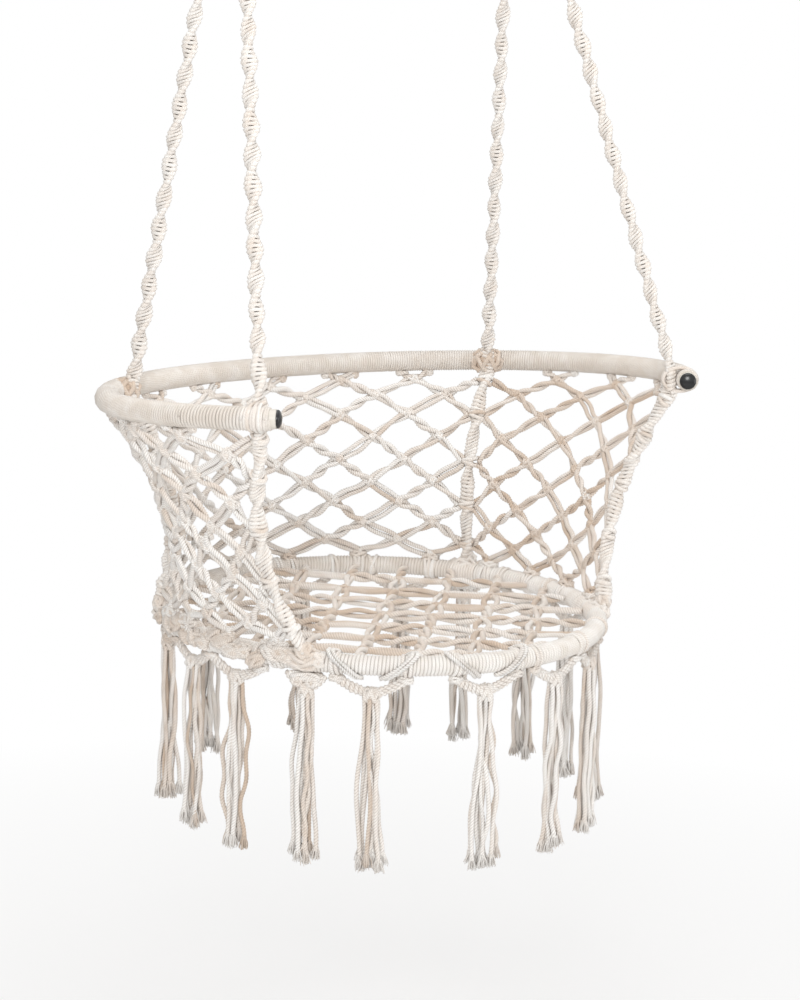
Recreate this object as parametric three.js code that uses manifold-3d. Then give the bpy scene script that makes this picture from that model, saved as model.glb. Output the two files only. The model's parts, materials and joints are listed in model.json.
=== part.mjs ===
// Hammock chair: a knotted cotton seat and back on two steel rings, hung by four rope braids.
// Millimetres, +Z up, X across the chair, Y from the open front to the back.
// Lengths below are measured from the seat ring's centre, with the hooks straight above it. The
// group at the end swings the chair forward, so that its weight hangs below the hooks, and moves
// the origin up to the line between them.
import * as THREE from 'three';
import { mergeVertices } from 'three/addons/utils/BufferGeometryUtils.js';
import Module from 'manifold-3d';

const wasm = await Module();
wasm.setup();

const DEGREE = Math.PI / 180;

// Clearance between pieces that lie against each other.
const FIT = 0.3;

// Steel tube of both rings, and the cord wound over it.
const TUBE_RADIUS = 11;
const TUBE_WALL = 1.2;
const VENT_RADIUS = 1.5;
const SEAT_WRAP_THICKNESS = 2.7;
const BACK_WRAP_THICKNESS = 4.2;
const WRAP_BORE = TUBE_RADIUS + FIT;
const SEAT_WRAP_RADIUS = WRAP_BORE + SEAT_WRAP_THICKNESS;
const BACK_WRAP_RADIUS = WRAP_BORE + BACK_WRAP_THICKNESS;

// Seat ring: a full circle, its back edge a little higher than its front edge.
const SEAT_RADIUS = 300;
const SEAT_TILT = 3.04 * DEGREE;

// Back ring: an oval left open at the front, level above the seat.
const BACK_HALF_WIDTH = 436;
const BACK_HALF_DEPTH = 322;
const BACK_FORWARD = 50.7;
const BACK_HEIGHT = 320;
const BACK_END_ANGLE = 54.3 * DEGREE;

// Where the ropes and ribs meet the rings, as angles from the front.
const FRONT_ROPE_ANGLE = 58.7 * DEGREE;
const REAR_ROPE_ANGLE = 131.1 * DEGREE;
const FRONT_RIB_ANGLE = 57.5 * DEGREE;
const REAR_RIB_ANGLE = 117.5 * DEGREE;

// Hitches that bind the ropes and ribs to the rings: a wrap round the ring and a knob beside it.
const ROPE_HITCH = { halfLength: 14, swell: 2.5, knobLength: 14, knobDepth: 10, knobHeight: 15, reach: 22 };
const RIB_HITCH = { halfLength: 20, swell: 3.5, knobLength: 20, knobDepth: 12, knobHeight: 17, reach: 13 };
const BARE_TUBE_END = 8;

// Spiral braids: ropes above the back ring, ribs below it.
const ROPE_RADIUS = 8.5;
const RIB_HALF_WIDTH = 10.5;
const RIB_HALF_DEPTH = 7.5;
const RIB_BEAD_LENGTH = 62;

// Wall of the chair: it narrows between the rings, and its front edges are drawn back.
const WALL_TOP_INSET = 3;
const WALL_SEAT_OUTSET = 3;
const FRONT_WAIST = 15;
const REAR_WAIST = 32;
const EDGE_PULL = 40;
const EDGE_PULL_SHARE = 0.5;
const EDGE_PULL_FADE = 1.5;
const EDGE_PULL_SKEW = 1.15;
const NUDGE_SHARE = 0.01;
const SIDE_COLUMNS = 4;
const BACK_COLUMNS = 6;
const ROW_SHARES = [0.045, 0.12, 0.225, 0.345, 0.465, 0.58, 0.7, 0.815, 0.915, 1];

// Net cords, two side by side in each mesh, and their knots.
const KNOT_HALF_SIZE = 6;
const NET_THICKNESS = 6;
const KNOT_BULGE = 2.4;
const LEG_SPREAD_SHARE = 0.2;
const LEG_HALF_WIDTH = 4;

// Seat net: a square mesh laid cornerwise in the seat ring.
const SEAT_KNOT_STEP = 50.5;
const SEAT_NET_SAG = 6;

// Hanging rings and the cord loops on them.
const HOOK_RING_RADIUS = 30;
const HOOK_WIRE_RADIUS = 4;
const HANG_HALF_SPAN = 239;
const ROPE_MEETING_HEIGHT = 1135;
const RING_ABOVE_MEETING = 16;
const HANG_LEAN = 1.88 * DEGREE;
const LOOP_RADIUS = 7;
const LOOP_PLAY = 0.8;
const LOOP_LEG_LENGTH = 66;
const LOOP_STEPS = 8;
const BINDING_CORD = 6;
const BINDING_PITCH = 6.7;
const BINDING_TURNS = 5;
const BINDING_PLAY = 0.4;
const BINDING_TOP_DROP = 18;
const BINDING_ARC_STEPS = 4;
const BINDING_SIDES = 5;

// End caps of the back ring's tube.
const CAP_HEAD_RADIUS = 11.6;
const CAP_RIM = 2.2;
const CAP_DOME = 4;
const CAP_PLUG_LENGTH = 14;
const CAP_SHOULDER_SHARE = 0.8;
const CAP_SHOULDER_RISE_SHARE = 0.6;

// Tassels: two braided arms to a knot under the ring, and loose cords below it.
const TASSEL_ARM_REACH = 44;
const RIB_TASSEL_ARM_REACH = 24;
const TASSEL_ARM_RADIUS = 6;
const TASSEL_ARM_TOP_RADIUS = 3.4;
const TASSEL_ARM_PLAY = 0.3;
const TASSEL_KNOT_DROP = 21;
const TASSEL_KNOT_RADIUS = 12;
const TASSEL_KNOT_DEPTH = 10;
const TASSEL_LENGTH = 258;
const STRAND_RADIUS = 3.7;
const STRAND_TOP_SPREAD = 6.4;
const STRAND_TIP_SPREAD = 14;
const STRAND_FRAY_SHARE = 1.8;
const STRAND_LENGTH_SHARES = [1, 0.95, 0.985, 0.93, 0.97];
const STRAND_STOP_SHARES = [
  { down: 0, out: 0, width: 1 },
  { down: 0.86, out: 0.9, width: 1 },
  { down: 1, out: 1, width: STRAND_FRAY_SHARE },
];
const FRONT_TASSEL_ANGLES = [-41, -11.5, 12, 32.5];
const SIDE_TASSEL_SHARES = [0.34, 0.64];
const BACK_TASSEL_SHARES = [0.148, 0.38, 0.652];

// Facet counts.
const SECTION_SIDES = 8;
const BRAID_SIDES = 6;
const STRAND_SIDES = 4;
const BALL_STEPS = 4;
const RIB_STEPS_PER_BEAD = 4;
const SEAT_STEP_ANGLE = 11.5 * DEGREE;
const BACK_STEP_ANGLE = 9.5 * DEGREE;

const COTTON = 0xe9e0d4;
const COTTON_SHADE = 0xe2d8ca;
const STEEL = 0xb9bcc0;
const PAINTED_STEEL = 0xe4e0d6;
const CAP_BLACK = 0x1b1c1e;

// Sections are octagons with a flat on top and below; this is how far their flats stand out.
const flat = (radius) => radius * Math.cos(Math.PI / SECTION_SIDES);

const RING_HEIGHT = ROPE_MEETING_HEIGHT + RING_ABOVE_MEETING;
const HOOK_HEIGHT = RING_HEIGHT + 2 * HOOK_RING_RADIUS - HOOK_WIRE_RADIUS;

const UP = new THREE.Vector3(0, 0, 1);
const vec = (x, y, z) => new THREE.Vector3(x, y, z);

// The true upright, which the tassels hang along, in the frame of the chair before it swings.
const PLUMB = UP.clone().applyAxisAngle(vec(1, 0, 0), HANG_LEAN);
const lerp = THREE.MathUtils.lerp;
const along = (origin, direction, distance) => origin.clone().addScaledVector(direction, distance);

// How far each leg of a cord loop stands from the middle of the ring's wire.
const LOOP_OFFSET = HOOK_WIRE_RADIUS + LOOP_PLAY + LOOP_RADIUS;

// A closed body from a list of triangles, turned so that its faces point out.
function solid(points, triangles) {
  let volume = 0;
  for (const [a, b, c] of triangles) {
    volume += points[a].dot(points[b].clone().cross(points[c]));
  }
  const order = volume > 0 ? triangles : triangles.map(([a, b, c]) => [a, c, b]);
  const geometry = new THREE.BufferGeometry().setFromPoints(points);
  geometry.setIndex(order.flat());
  geometry.computeVertexNormals();
  return geometry;
}

// Skins rings of points into a body: closed into a loop, or capped at both ends.
function skin(rings, loop = false) {
  const count = rings[0].length;
  const points = rings.flat();
  const triangles = [];
  const last = loop ? rings.length : rings.length - 1;
  for (let i = 0; i < last; i++) {
    const here = i * count;
    const next = ((i + 1) % rings.length) * count;
    for (let k = 0; k < count; k++) {
      const j = (k + 1) % count;
      triangles.push([here + k, here + j, next + j], [here + k, next + j, next + k]);
    }
  }
  if (!loop) {
    const far = (rings.length - 1) * count;
    for (let k = 1; k < count - 1; k++) {
      triangles.push([0, k + 1, k], [far, far + k, far + k + 1]);
    }
  }
  return solid(points, triangles);
}

// An oval ring of points round a centre.
function oval(centre, across, over, acrossRadius, overRadius, sides, turn = 0) {
  return Array.from({ length: sides }, (_, k) => {
    const a = (k / sides) * 2 * Math.PI;
    const u = acrossRadius * Math.cos(a);
    const v = overRadius * Math.sin(a);
    const c = Math.cos(turn);
    const s = Math.sin(turn);
    return along(along(centre, across, u * c - v * s), over, u * s + v * c);
  });
}

function toManifold(geometry) {
  const bare = new THREE.BufferGeometry();
  bare.setAttribute('position', geometry.getAttribute('position').clone());
  bare.setIndex(geometry.getIndex());
  const merged = mergeVertices(bare);
  return new wasm.Manifold(new wasm.Mesh({
    numProp: 3,
    vertProperties: new Float32Array(merged.getAttribute('position').array),
    triVerts: new Uint32Array(merged.getIndex().array),
  }));
}

function fromManifold(body) {
  const mesh = body.getMesh();
  const geometry = new THREE.BufferGeometry();
  geometry.setAttribute('position', new THREE.BufferAttribute(mesh.vertProperties, mesh.numProp));
  geometry.setIndex(new THREE.BufferAttribute(mesh.triVerts, 1));
  geometry.computeVertexNormals();
  return geometry;
}

const join = (geometries) => fromManifold(
  geometries.map(toManifold).reduce((whole, piece) => whole.add(piece)));

function blob(centre, across, over, halfSizes, sides) {
  const ball = new THREE.SphereGeometry(1, sides, BALL_STEPS);
  const third = over.clone().cross(across);
  ball.scale(...halfSizes);
  ball.applyMatrix4(new THREE.Matrix4().makeBasis(across, third, over));
  ball.translate(centre.x, centre.y, centre.z);
  return ball;
}

function node(name, geometry, colour, roughness = 0.9, metalness = 0) {
  const mesh = new THREE.Mesh(geometry, new THREE.MeshStandardMaterial({ color: colour, roughness, metalness }));
  mesh.name = name;
  return mesh;
}

// Stations along a ring: centre, direction away from the chair's middle, direction of travel.
function seatStation(angle) {
  const outward = vec(Math.sin(angle), -Math.cos(angle), 0);
  const travel = vec(Math.cos(angle), Math.sin(angle), 0);
  return { centre: outward.clone().multiplyScalar(SEAT_RADIUS), outward, travel };
}

function backStation(angle) {
  const centre = vec(BACK_HALF_WIDTH * Math.sin(angle),
    -BACK_FORWARD - BACK_HALF_DEPTH * Math.cos(angle), BACK_HEIGHT);
  const travel = vec(BACK_HALF_WIDTH * Math.cos(angle), BACK_HALF_DEPTH * Math.sin(angle), 0);
  const speed = travel.length();
  travel.divideScalar(speed);
  return { centre, travel, outward: travel.clone().cross(UP), speed };
}

const seatTurn = (distance) => distance / SEAT_RADIUS;
const backTurn = (angle, distance) => distance / backStation(angle).speed;

function spread(from, to, step) {
  const count = Math.max(1, Math.round((to - from) / step));
  return Array.from({ length: count + 1 }, (_, i) => lerp(from, to, i / count));
}

// The octagon round a station, one flat of it on top.
function section(station, radius) {
  return oval(station.centre, station.outward, UP, radius, radius, SECTION_SIDES, Math.PI / SECTION_SIDES);
}

// A hollow tube over stations, with open ends.
function sleeve(stations, bore, radius) {
  const outer = stations.map((station) => section(station, radius));
  const inner = stations.map((station) => section(station, bore)).reverse();
  const rings = [...outer, ...inner];
  return skin(outer[0].map((_, k) => rings.map((ring) => ring[k])), true);
}

// A closed solid hoop over stations all the way round.
const hoop = (stations, radius) => skin(stations.map((station) => section(station, radius)), true);

const corners = [
  { name: 'front_right', side: 1, rope: FRONT_ROPE_ANGLE, rib: FRONT_RIB_ANGLE, waist: FRONT_WAIST, pull: EDGE_PULL },
  { name: 'rear_right', side: 1, rope: REAR_ROPE_ANGLE, rib: REAR_RIB_ANGLE, waist: REAR_WAIST, pull: 0 },
  { name: 'rear_left', side: -1, rope: REAR_ROPE_ANGLE, rib: REAR_RIB_ANGLE, waist: REAR_WAIST, pull: 0 },
  { name: 'front_left', side: -1, rope: FRONT_ROPE_ANGLE, rib: FRONT_RIB_ANGLE, waist: FRONT_WAIST, pull: EDGE_PULL },
].map((corner) => ({
  ...corner,
  rope: corner.side > 0 ? corner.rope : 2 * Math.PI - corner.rope,
  rib: corner.side > 0 ? corner.rib : 2 * Math.PI - corner.rib,
}));

// A point given in the seat ring's tilted plane, in the chair's frame.
const tilted = (point) => point.clone().applyAxisAngle(vec(1, 0, 0), SEAT_TILT);

function nearSeatRing(angle, outset, rise) {
  const { centre, outward } = seatStation(angle);
  return tilted(along(along(centre, outward, outset), UP, rise));
}

function nearBackRing(angle, inset, rise) {
  const { centre, outward } = backStation(angle);
  return along(along(centre, outward, -inset), UP, rise);
}

// Moves a point of the wall in towards the chair's middle, and round towards the back.
function drawIn(point, share, waist, pull) {
  const radius = Math.hypot(point.x, point.y);
  const angle = Math.atan2(point.x, -point.y);
  const narrowed = radius - waist * 4 * share * (1 - share);
  const turned = angle + (pull * Math.sin(Math.PI * share ** EDGE_PULL_SKEW)) / radius;
  return vec(narrowed * Math.sin(turned), -narrowed * Math.cos(turned), point.z);
}

function ribPoint(corner, share) {
  const top = nearBackRing(corner.rope, ROPE_HITCH.reach, -ROPE_HITCH.knobHeight - FIT);
  const foot = nearSeatRing(corner.rib, RIB_HITCH.reach, RIB_HITCH.knobHeight + FIT);
  return drawIn(top.lerp(foot, share), share, corner.waist, corner.pull * corner.side);
}

// A panel of the wall runs from one rib to the next; across and share both go from 0 to 1.
function wallPoint(panel, across, share) {
  const { from, to } = panel;
  const top = nearBackRing(lerp(from.rope, to.rope, across), WALL_TOP_INSET, -flat(BACK_WRAP_RADIUS) - FIT);
  const foot = nearSeatRing(lerp(from.rib, to.rib, across), WALL_SEAT_OUTSET,
    flat(SEAT_WRAP_RADIUS) + FIT + KNOT_HALF_SIZE);
  const fade = (distance) => Math.max(0, 1 - distance / EDGE_PULL_SHARE) ** EDGE_PULL_FADE;
  const pull = from.pull * from.side * fade(across) + to.pull * to.side * fade(1 - across);
  return drawIn(top.lerp(foot, share), share, lerp(from.waist, to.waist, across), pull);
}

// A net is built from knots with four linking faces, in the order down-right, down-left,
// up-left, up-right, and from straight cords that join two faces.
const OPPOSITE = [2, 3, 0, 1];

class Net {
  points = [];
  triangles = [];
  knots = [];

  quad(a, b, c, d) {
    this.triangles.push([a, b, c], [a, c, d]);
  }

  knot(centre, right, down) {
    const normal = right.clone().cross(down).normalize();
    const first = this.points.length;
    const rim = [[right, 1], [down, 1], [right, -1], [down, -1]];
    for (const level of [1, -1]) {
      for (const [direction, sign] of rim) {
        const corner = along(centre, direction, sign * KNOT_HALF_SIZE);
        this.points.push(along(corner, normal, (level * NET_THICKNESS) / 2));
      }
    }
    const crown = NET_THICKNESS / 2 + KNOT_BULGE;
    this.points.push(along(centre, normal, crown), along(centre, normal, -crown));
    for (let k = 0; k < 4; k++) {
      const j = (k + 1) % 4;
      this.triangles.push([first + 8, first + k, first + j], [first + 9, first + 4 + j, first + 4 + k]);
    }
    const made = { first, centre, right, down, normal, linked: [false, false, false, false] };
    this.knots.push(made);
    return made;
  }

  face(knot, k) {
    const j = (k + 1) % 4;
    return { p: knot.first + k, q: knot.first + j, below: 4 };
  }

  cord(a, b) {
    this.quad(a.q, a.p, b.q, b.p);
    this.quad(a.p + a.below, a.q + a.below, b.p + b.below, b.q + b.below);
    this.quad(b.q, a.p, a.p + a.below, b.q + b.below);
    this.quad(a.q, b.p, b.p + b.below, a.q + a.below);
  }

  link(knot, k, other) {
    knot.linked[k] = true;
    other.linked[OPPOSITE[k]] = true;
    this.cord(this.face(knot, k), this.face(other, OPPOSITE[k]));
  }

  // A cord that leaves face k and ends flat between two edge points, on its near and far side.
  end(knot, k, nearEdge, farEdge, normal) {
    knot.linked[k] = true;
    const first = this.points.length;
    for (const level of [1, -1]) {
      for (const edge of [farEdge, nearEdge]) {
        this.points.push(along(edge, normal, (level * NET_THICKNESS) / 2));
      }
    }
    const tip = { p: first, q: first + 1, below: 2 };
    this.cord(this.face(knot, k), tip);
    this.quad(tip.p, tip.q, tip.q + tip.below, tip.p + tip.below);
  }

  build() {
    for (const knot of this.knots) {
      knot.linked.forEach((done, k) => {
        const { p, q, below } = this.face(knot, k);
        if (!done) this.quad(q, p, p + below, q + below);
      });
    }
    return solid(this.points, this.triangles);
  }
}

// Directions at a place in the wall; the last row stands upright on the seat ring.
function wallFrame(place, across, share) {
  const right = place(across + NUDGE_SHARE, share).sub(place(across - NUDGE_SHARE, share)).normalize();
  const down = share < 1 ? place(across, share + NUDGE_SHARE).sub(place(across, share)) : tilted(UP).negate();
  down.addScaledVector(right, -down.dot(right)).normalize();
  return { right, down };
}

// One net panel of the wall. Even rows have a knot on each column line, odd rows between them.
function wallNet(panel) {
  const net = new Net();
  const place = (across, share) => wallPoint(panel, across, share);
  const rows = ROW_SHARES.map((share, row) => {
    const even = row % 2 === 0;
    const count = even ? panel.columns + 1 : panel.columns;
    return Array.from({ length: count }, (_, i) => {
      const across = (even ? i : i + 0.5) / panel.columns;
      const { right, down } = wallFrame(place, across, share);
      const rib = even && i === 0 ? panel.from : even && i === panel.columns ? panel.to : null;
      if (!rib) return net.knot(place(across, share), right, down);
      const inward = rib === panel.from ? 1 : -1;
      const reach = RIB_HALF_WIDTH + FIT + KNOT_HALF_SIZE;
      return net.knot(along(ribPoint(rib, share), right, inward * reach), right, down);
    });
  });
  rows.slice(0, -1).forEach((row, r) => {
    const below = rows[r + 1];
    const shift = r % 2 === 0 ? 0 : 1;
    row.forEach((knot, i) => {
      if (below[i + shift]) net.link(knot, 0, below[i + shift]);
      if (below[i + shift - 1]) net.link(knot, 1, below[i + shift - 1]);
    });
  });
  rows[0].slice(1, -1).forEach((knot, i) => {
    const line = (i + 1) / panel.columns;
    const level = UP.clone().cross(knot.right).normalize();
    for (const [face, side] of [[2, -1], [3, 1]]) {
      const foot = place(line + (side * LEG_SPREAD_SHARE) / panel.columns, 0);
      const [near, far] = [-1, 1].map((edge) => along(foot, knot.right, edge * LEG_HALF_WIDTH));
      net.end(knot, face, near, far, level);
    }
  });
  return net.build();
}

// The first place where a line in the seat's plane meets the closed outline of the opening.
function meet(start, run, outline) {
  const turnOf = (a, b) => a.x * b.y - a.y * b.x;
  const distances = outline.map((corner, i) => {
    const side = outline[(i + 1) % outline.length].clone().sub(corner);
    const gap = corner.clone().sub(start);
    const distance = turnOf(gap, side) / turnOf(run, side);
    const share = turnOf(gap, run) / turnOf(run, side);
    return share >= 0 && share <= 1 && distance > 0 ? distance : Infinity;
  });
  return along(start, run, Math.min(...distances));
}

// The seat net lies in the seat ring's plane and ends on what is wound round the ring.
function seatNet(outline) {
  const net = new Net();
  const edge = SEAT_RADIUS - SEAT_WRAP_RADIUS;
  const sag = (x, y) => -SEAT_NET_SAG * (1 - (x * x + y * y) / (edge * edge));
  const right = vec(1, 0, 0);
  const down = vec(0, -1, 0);
  const made = new Map();
  const reach = Math.ceil(SEAT_RADIUS / SEAT_KNOT_STEP);
  for (let i = -reach; i <= reach; i++) {
    for (let j = -reach; j <= reach; j++) {
      const x = i * SEAT_KNOT_STEP;
      const y = j * SEAT_KNOT_STEP;
      const inside = Math.hypot(x, y) < edge - 2 * KNOT_HALF_SIZE;
      if ((i + j) % 2 === 0 && inside) made.set(`${i},${j}`, net.knot(vec(x, y, sag(x, y)), right, down));
    }
  }
  const steps = [[1, -1], [-1, -1], [-1, 1], [1, 1]];
  for (const [key, knot] of made) {
    const [i, j] = key.split(',').map(Number);
    steps.forEach(([di, dj], k) => {
      const other = made.get(`${i + di},${j + dj}`);
      if (other && k < 2) net.link(knot, k, other);
      if (other) return;
      const run = vec(di, dj, 0).normalize();
      const middle = knot.centre.clone().setZ(0);
      const edges = [down, right].map((direction) => {
        const sign = Math.sign(direction.dot(run));
        return meet(along(middle, direction, sign * KNOT_HALF_SIZE), run, outline);
      });
      const nearFirst = k % 2 === 0 ? edges : [edges[1], edges[0]];
      net.end(knot, k, nearFirst[1], nearFirst[0], knot.normal);
    });
  }
  return net.build();
}

// A corner of the opening inside the seat ring, clear of a wrap of this radius.
function nearOpening(angle, radius) {
  const { centre, outward } = seatStation(angle);
  return along(centre, outward, -flat(radius) - FIT);
}

const chair = new THREE.Group();
const group = new THREE.Group();
const seat = new THREE.Group();
seat.rotation.x = SEAT_TILT;
group.add(seat);

// Seat ring: a welded hoop of tube with the vent hole that lets it be welded shut.
const hitchTurn = seatTurn(RIB_HITCH.halfLength);
const seatNames = ['seat_wrap_right', 'seat_wrap_back', 'seat_wrap_left', 'seat_wrap_front'];
const seatAngles = [];
const seatOutline = [];
corners.forEach((corner, i) => {
  const next = i < corners.length - 1 ? corners[i + 1].rib : corners[0].rib + 2 * Math.PI;
  const runs = spread(corner.rib + hitchTurn, next - hitchTurn, SEAT_STEP_ANGLE);
  seatAngles.push(corner.rib, ...runs);
  const peak = RIB_HITCH.swell * (1 + KNOT_HALF_SIZE / RIB_HITCH.halfLength);
  seatOutline.push(nearOpening(corner.rib, SEAT_WRAP_RADIUS + peak));
  seatOutline.push(...runs.map((angle) => nearOpening(angle, SEAT_WRAP_RADIUS)));
  const covered = [...runs];
  covered[0] += seatTurn(FIT);
  covered[covered.length - 1] -= seatTurn(FIT);
  seat.add(node(seatNames[i], sleeve(covered.map(seatStation), WRAP_BORE, SEAT_WRAP_RADIUS), COTTON));
});
const ventAngle = (FRONT_RIB_ANGLE + REAR_RIB_ANGLE) / 2;
const vent = new THREE.CylinderGeometry(VENT_RADIUS, VENT_RADIUS, TUBE_RADIUS, SECTION_SIDES);
vent.rotateX(Math.PI / 2);
vent.translate(...seatStation(ventAngle).centre.clone().addScaledVector(UP, -TUBE_RADIUS).toArray());
const seatStations = seatAngles.map(seatStation);
seat.add(node('seat_ring_tube', fromManifold(toManifold(hoop(seatStations, TUBE_RADIUS))
  .subtract(toManifold(hoop(seatStations, TUBE_RADIUS - TUBE_WALL)))
  .subtract(toManifold(vent))), PAINTED_STEEL, 0.5, 0.6));
seat.add(node('seat_net', seatNet(seatOutline), COTTON_SHADE));

// A hitch: cord wrapped round the ring, with a knob where the braid is bound in.
function hitch(station, angle, turn, size, wrapRadius, side) {
  const wrap = skin([
    section(station(angle - turn), wrapRadius),
    section(station(angle), wrapRadius + size.swell),
    section(station(angle + turn), wrapRadius)]);
  const { centre, outward, travel } = station(angle);
  const knob = blob(along(centre, outward, side * size.reach), travel, UP,
    [size.knobLength, size.knobDepth, size.knobHeight], SECTION_SIDES);
  const stops = [-2, -1, 0, 1, 2].map((step) => station(angle + step * turn));
  const bore = skin(stops.map((stop) => section(stop, WRAP_BORE)));
  return fromManifold(toManifold(wrap).add(toManifold(knob)).subtract(toManifold(bore)));
}

corners.forEach((corner) => {
  const ropeTurn = backTurn(corner.rope, ROPE_HITCH.halfLength);
  seat.add(node(`seat_hitch_${corner.name}`,
    hitch(seatStation, corner.rib, hitchTurn, RIB_HITCH, SEAT_WRAP_RADIUS, 1), COTTON_SHADE));
  group.add(node(`rope_hitch_${corner.name}`,
    hitch(backStation, corner.rope, ropeTurn, ROPE_HITCH, BACK_WRAP_RADIUS, -1), COTTON_SHADE));
});

// Back ring: an open tube with its wrap in five lengths, between and beyond the four hitches.
const endAngles = [BACK_END_ANGLE, 2 * Math.PI - BACK_END_ANGLE];
const wrapEnds = [
  endAngles[0] + backTurn(endAngles[0], BARE_TUBE_END),
  endAngles[1] - backTurn(endAngles[1], BARE_TUBE_END)];
const backBounds = corners.map((corner) => {
  const turn = backTurn(corner.rope, ROPE_HITCH.halfLength);
  return [corner.rope - turn, corner.rope + turn];
});
const backNames = ['back_wrap_right_end', 'back_wrap_right', 'back_wrap_centre', 'back_wrap_left',
  'back_wrap_left_end'];
const backAngles = [endAngles[0]];
backNames.forEach((name, i) => {
  const start = i === 0 ? wrapEnds[0] : backBounds[i - 1][1];
  const stop = i === backNames.length - 1 ? wrapEnds[1] : backBounds[i][0];
  const runs = spread(start, stop, BACK_STEP_ANGLE);
  backAngles.push(...runs);
  if (i < corners.length) backAngles.push(corners[i].rope);
  const covered = [...runs];
  if (i > 0) covered[0] += backTurn(start, FIT);
  if (i < backNames.length - 1) covered[covered.length - 1] -= backTurn(stop, FIT);
  group.add(node(name, sleeve(covered.map(backStation), WRAP_BORE, BACK_WRAP_RADIUS), COTTON));
});
backAngles.push(endAngles[1]);
group.add(node('back_ring_tube',
  sleeve(backAngles.map(backStation), TUBE_RADIUS - TUBE_WALL, TUBE_RADIUS), PAINTED_STEEL, 0.5, 0.6));

// End caps: a domed head on a plug that fits the tube's bore.
function capGeometry() {
  const bore = flat(TUBE_RADIUS - TUBE_WALL) - FIT;
  const shoulder = [CAP_HEAD_RADIUS * CAP_SHOULDER_SHARE, CAP_RIM + CAP_DOME * CAP_SHOULDER_RISE_SHARE];
  const profile = [[0, -CAP_PLUG_LENGTH], [bore, -CAP_PLUG_LENGTH], [bore, FIT], [CAP_HEAD_RADIUS, FIT],
    [CAP_HEAD_RADIUS, CAP_RIM], shoulder, [0, CAP_RIM + CAP_DOME]];
  return new THREE.LatheGeometry(profile.map(([x, y]) => new THREE.Vector2(x, y)), 2 * SECTION_SIDES);
}

endAngles.forEach((angle, i) => {
  const { centre, travel } = backStation(angle);
  const cap = node(i === 0 ? 'right_end_cap' : 'left_end_cap', fromManifold(toManifold(capGeometry())),
    CAP_BLACK, 0.45);
  cap.position.copy(centre);
  cap.quaternion.setFromUnitVectors(vec(0, 1, 0), travel.multiplyScalar(i === 0 ? -1 : 1));
  group.add(cap);
});

// A spiral braid: an oval section that turns half round in each bead.
function braid(path, beads, halfWidth, halfDepth, steps) {
  const rings = Array.from({ length: steps + 1 }, (_, i) => {
    const share = i / steps;
    return oval(path(share), vec(1, 0, 0), vec(0, 1, 0), halfWidth, halfDepth, BRAID_SIDES,
      share * beads * Math.PI);
  });
  return skin(rings);
}

corners.forEach((corner) => {
  const foot = nearBackRing(corner.rope, ROPE_HITCH.reach, ROPE_HITCH.knobHeight + FIT);
  const front = corner.name.startsWith('front') ? -1 : 1;
  const head = vec(corner.side * HANG_HALF_SPAN, front * LOOP_OFFSET, RING_HEIGHT - LOOP_LEG_LENGTH - FIT);
  const ropeEnds = [head, foot].map((end) => oval(end, vec(1, 0, 0), vec(0, 1, 0),
    ROPE_RADIUS, ROPE_RADIUS, SECTION_SIDES));
  group.add(node(`rope_${corner.name}`, skin(ropeEnds), COTTON));
  const rib = (share) => ribPoint(corner, share);
  const ribBeads = Math.round(rib(0).distanceTo(rib(1)) / RIB_BEAD_LENGTH);
  group.add(node(`rib_${corner.name}`,
    braid(rib, ribBeads, RIB_HALF_WIDTH, RIB_HALF_DEPTH, ribBeads * RIB_STEPS_PER_BEAD), COTTON));
});

// Net panels of the wall.
group.add(node('side_net_right', wallNet({ from: corners[0], to: corners[1], columns: SIDE_COLUMNS }), COTTON_SHADE));
group.add(node('back_net', wallNet({ from: corners[1], to: corners[2], columns: BACK_COLUMNS }), COTTON_SHADE));
group.add(node('side_net_left', wallNet({ from: corners[2], to: corners[3], columns: SIDE_COLUMNS }), COTTON_SHADE));

// The loop: the rope bundle goes up, over the ring's wire and down again.
function loopGeometry() {
  const bends = Array.from({ length: LOOP_STEPS + 1 }, (_, i) => {
    const a = (i / LOOP_STEPS) * Math.PI;
    const outward = vec(0, -Math.cos(a), Math.sin(a));
    return { centre: outward.clone().multiplyScalar(LOOP_OFFSET), outward };
  });
  const ends = [bends[0], bends[LOOP_STEPS]].map(({ centre, outward }) => (
    { centre: along(centre, UP, -LOOP_LEG_LENGTH), outward }));
  return skin([ends[0], ...bends, ends[1]].map(({ centre, outward }) => oval(centre, outward,
    vec(1, 0, 0), LOOP_RADIUS, LOOP_RADIUS, SECTION_SIDES, Math.PI / SECTION_SIDES)));
}

// The binding: one cord wound round both legs of the loop, with its ends run out straight.
function bindingPath() {
  const cornering = Math.cos(Math.PI / (2 * BINDING_ARC_STEPS));
  const radius = (LOOP_RADIUS + BINDING_PLAY + BINDING_CORD / 2) / cornering;
  const once = [];
  for (const side of [-1, 1]) {
    for (let i = 0; i <= BINDING_ARC_STEPS; i++) {
      const a = (i / BINDING_ARC_STEPS) * Math.PI;
      once.push([-side * radius * Math.cos(a), side * (LOOP_OFFSET + radius * Math.sin(a))]);
    }
  }
  const stops = Array.from({ length: BINDING_TURNS * once.length + 1 }, (_, i) => {
    const [x, y] = once[i % once.length];
    return vec(x, y, -BINDING_TOP_DROP - (BINDING_PITCH * i) / once.length);
  });
  const lead = along(stops[0], vec(0, 1, 0), BINDING_CORD);
  const tail = along(stops[stops.length - 1], vec(0, 1, 0), -BINDING_CORD);
  return { stops: [lead, ...stops, tail], perTurn: once.length };
}

function leastGap(stops, diameter, perTurn) {
  let least = Infinity;
  stops.forEach((a, i) => stops.slice(i + perTurn / 2).forEach((b) => {
    least = Math.min(least, a.distanceTo(b) - diameter);
  }));
  return least;
}

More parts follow.
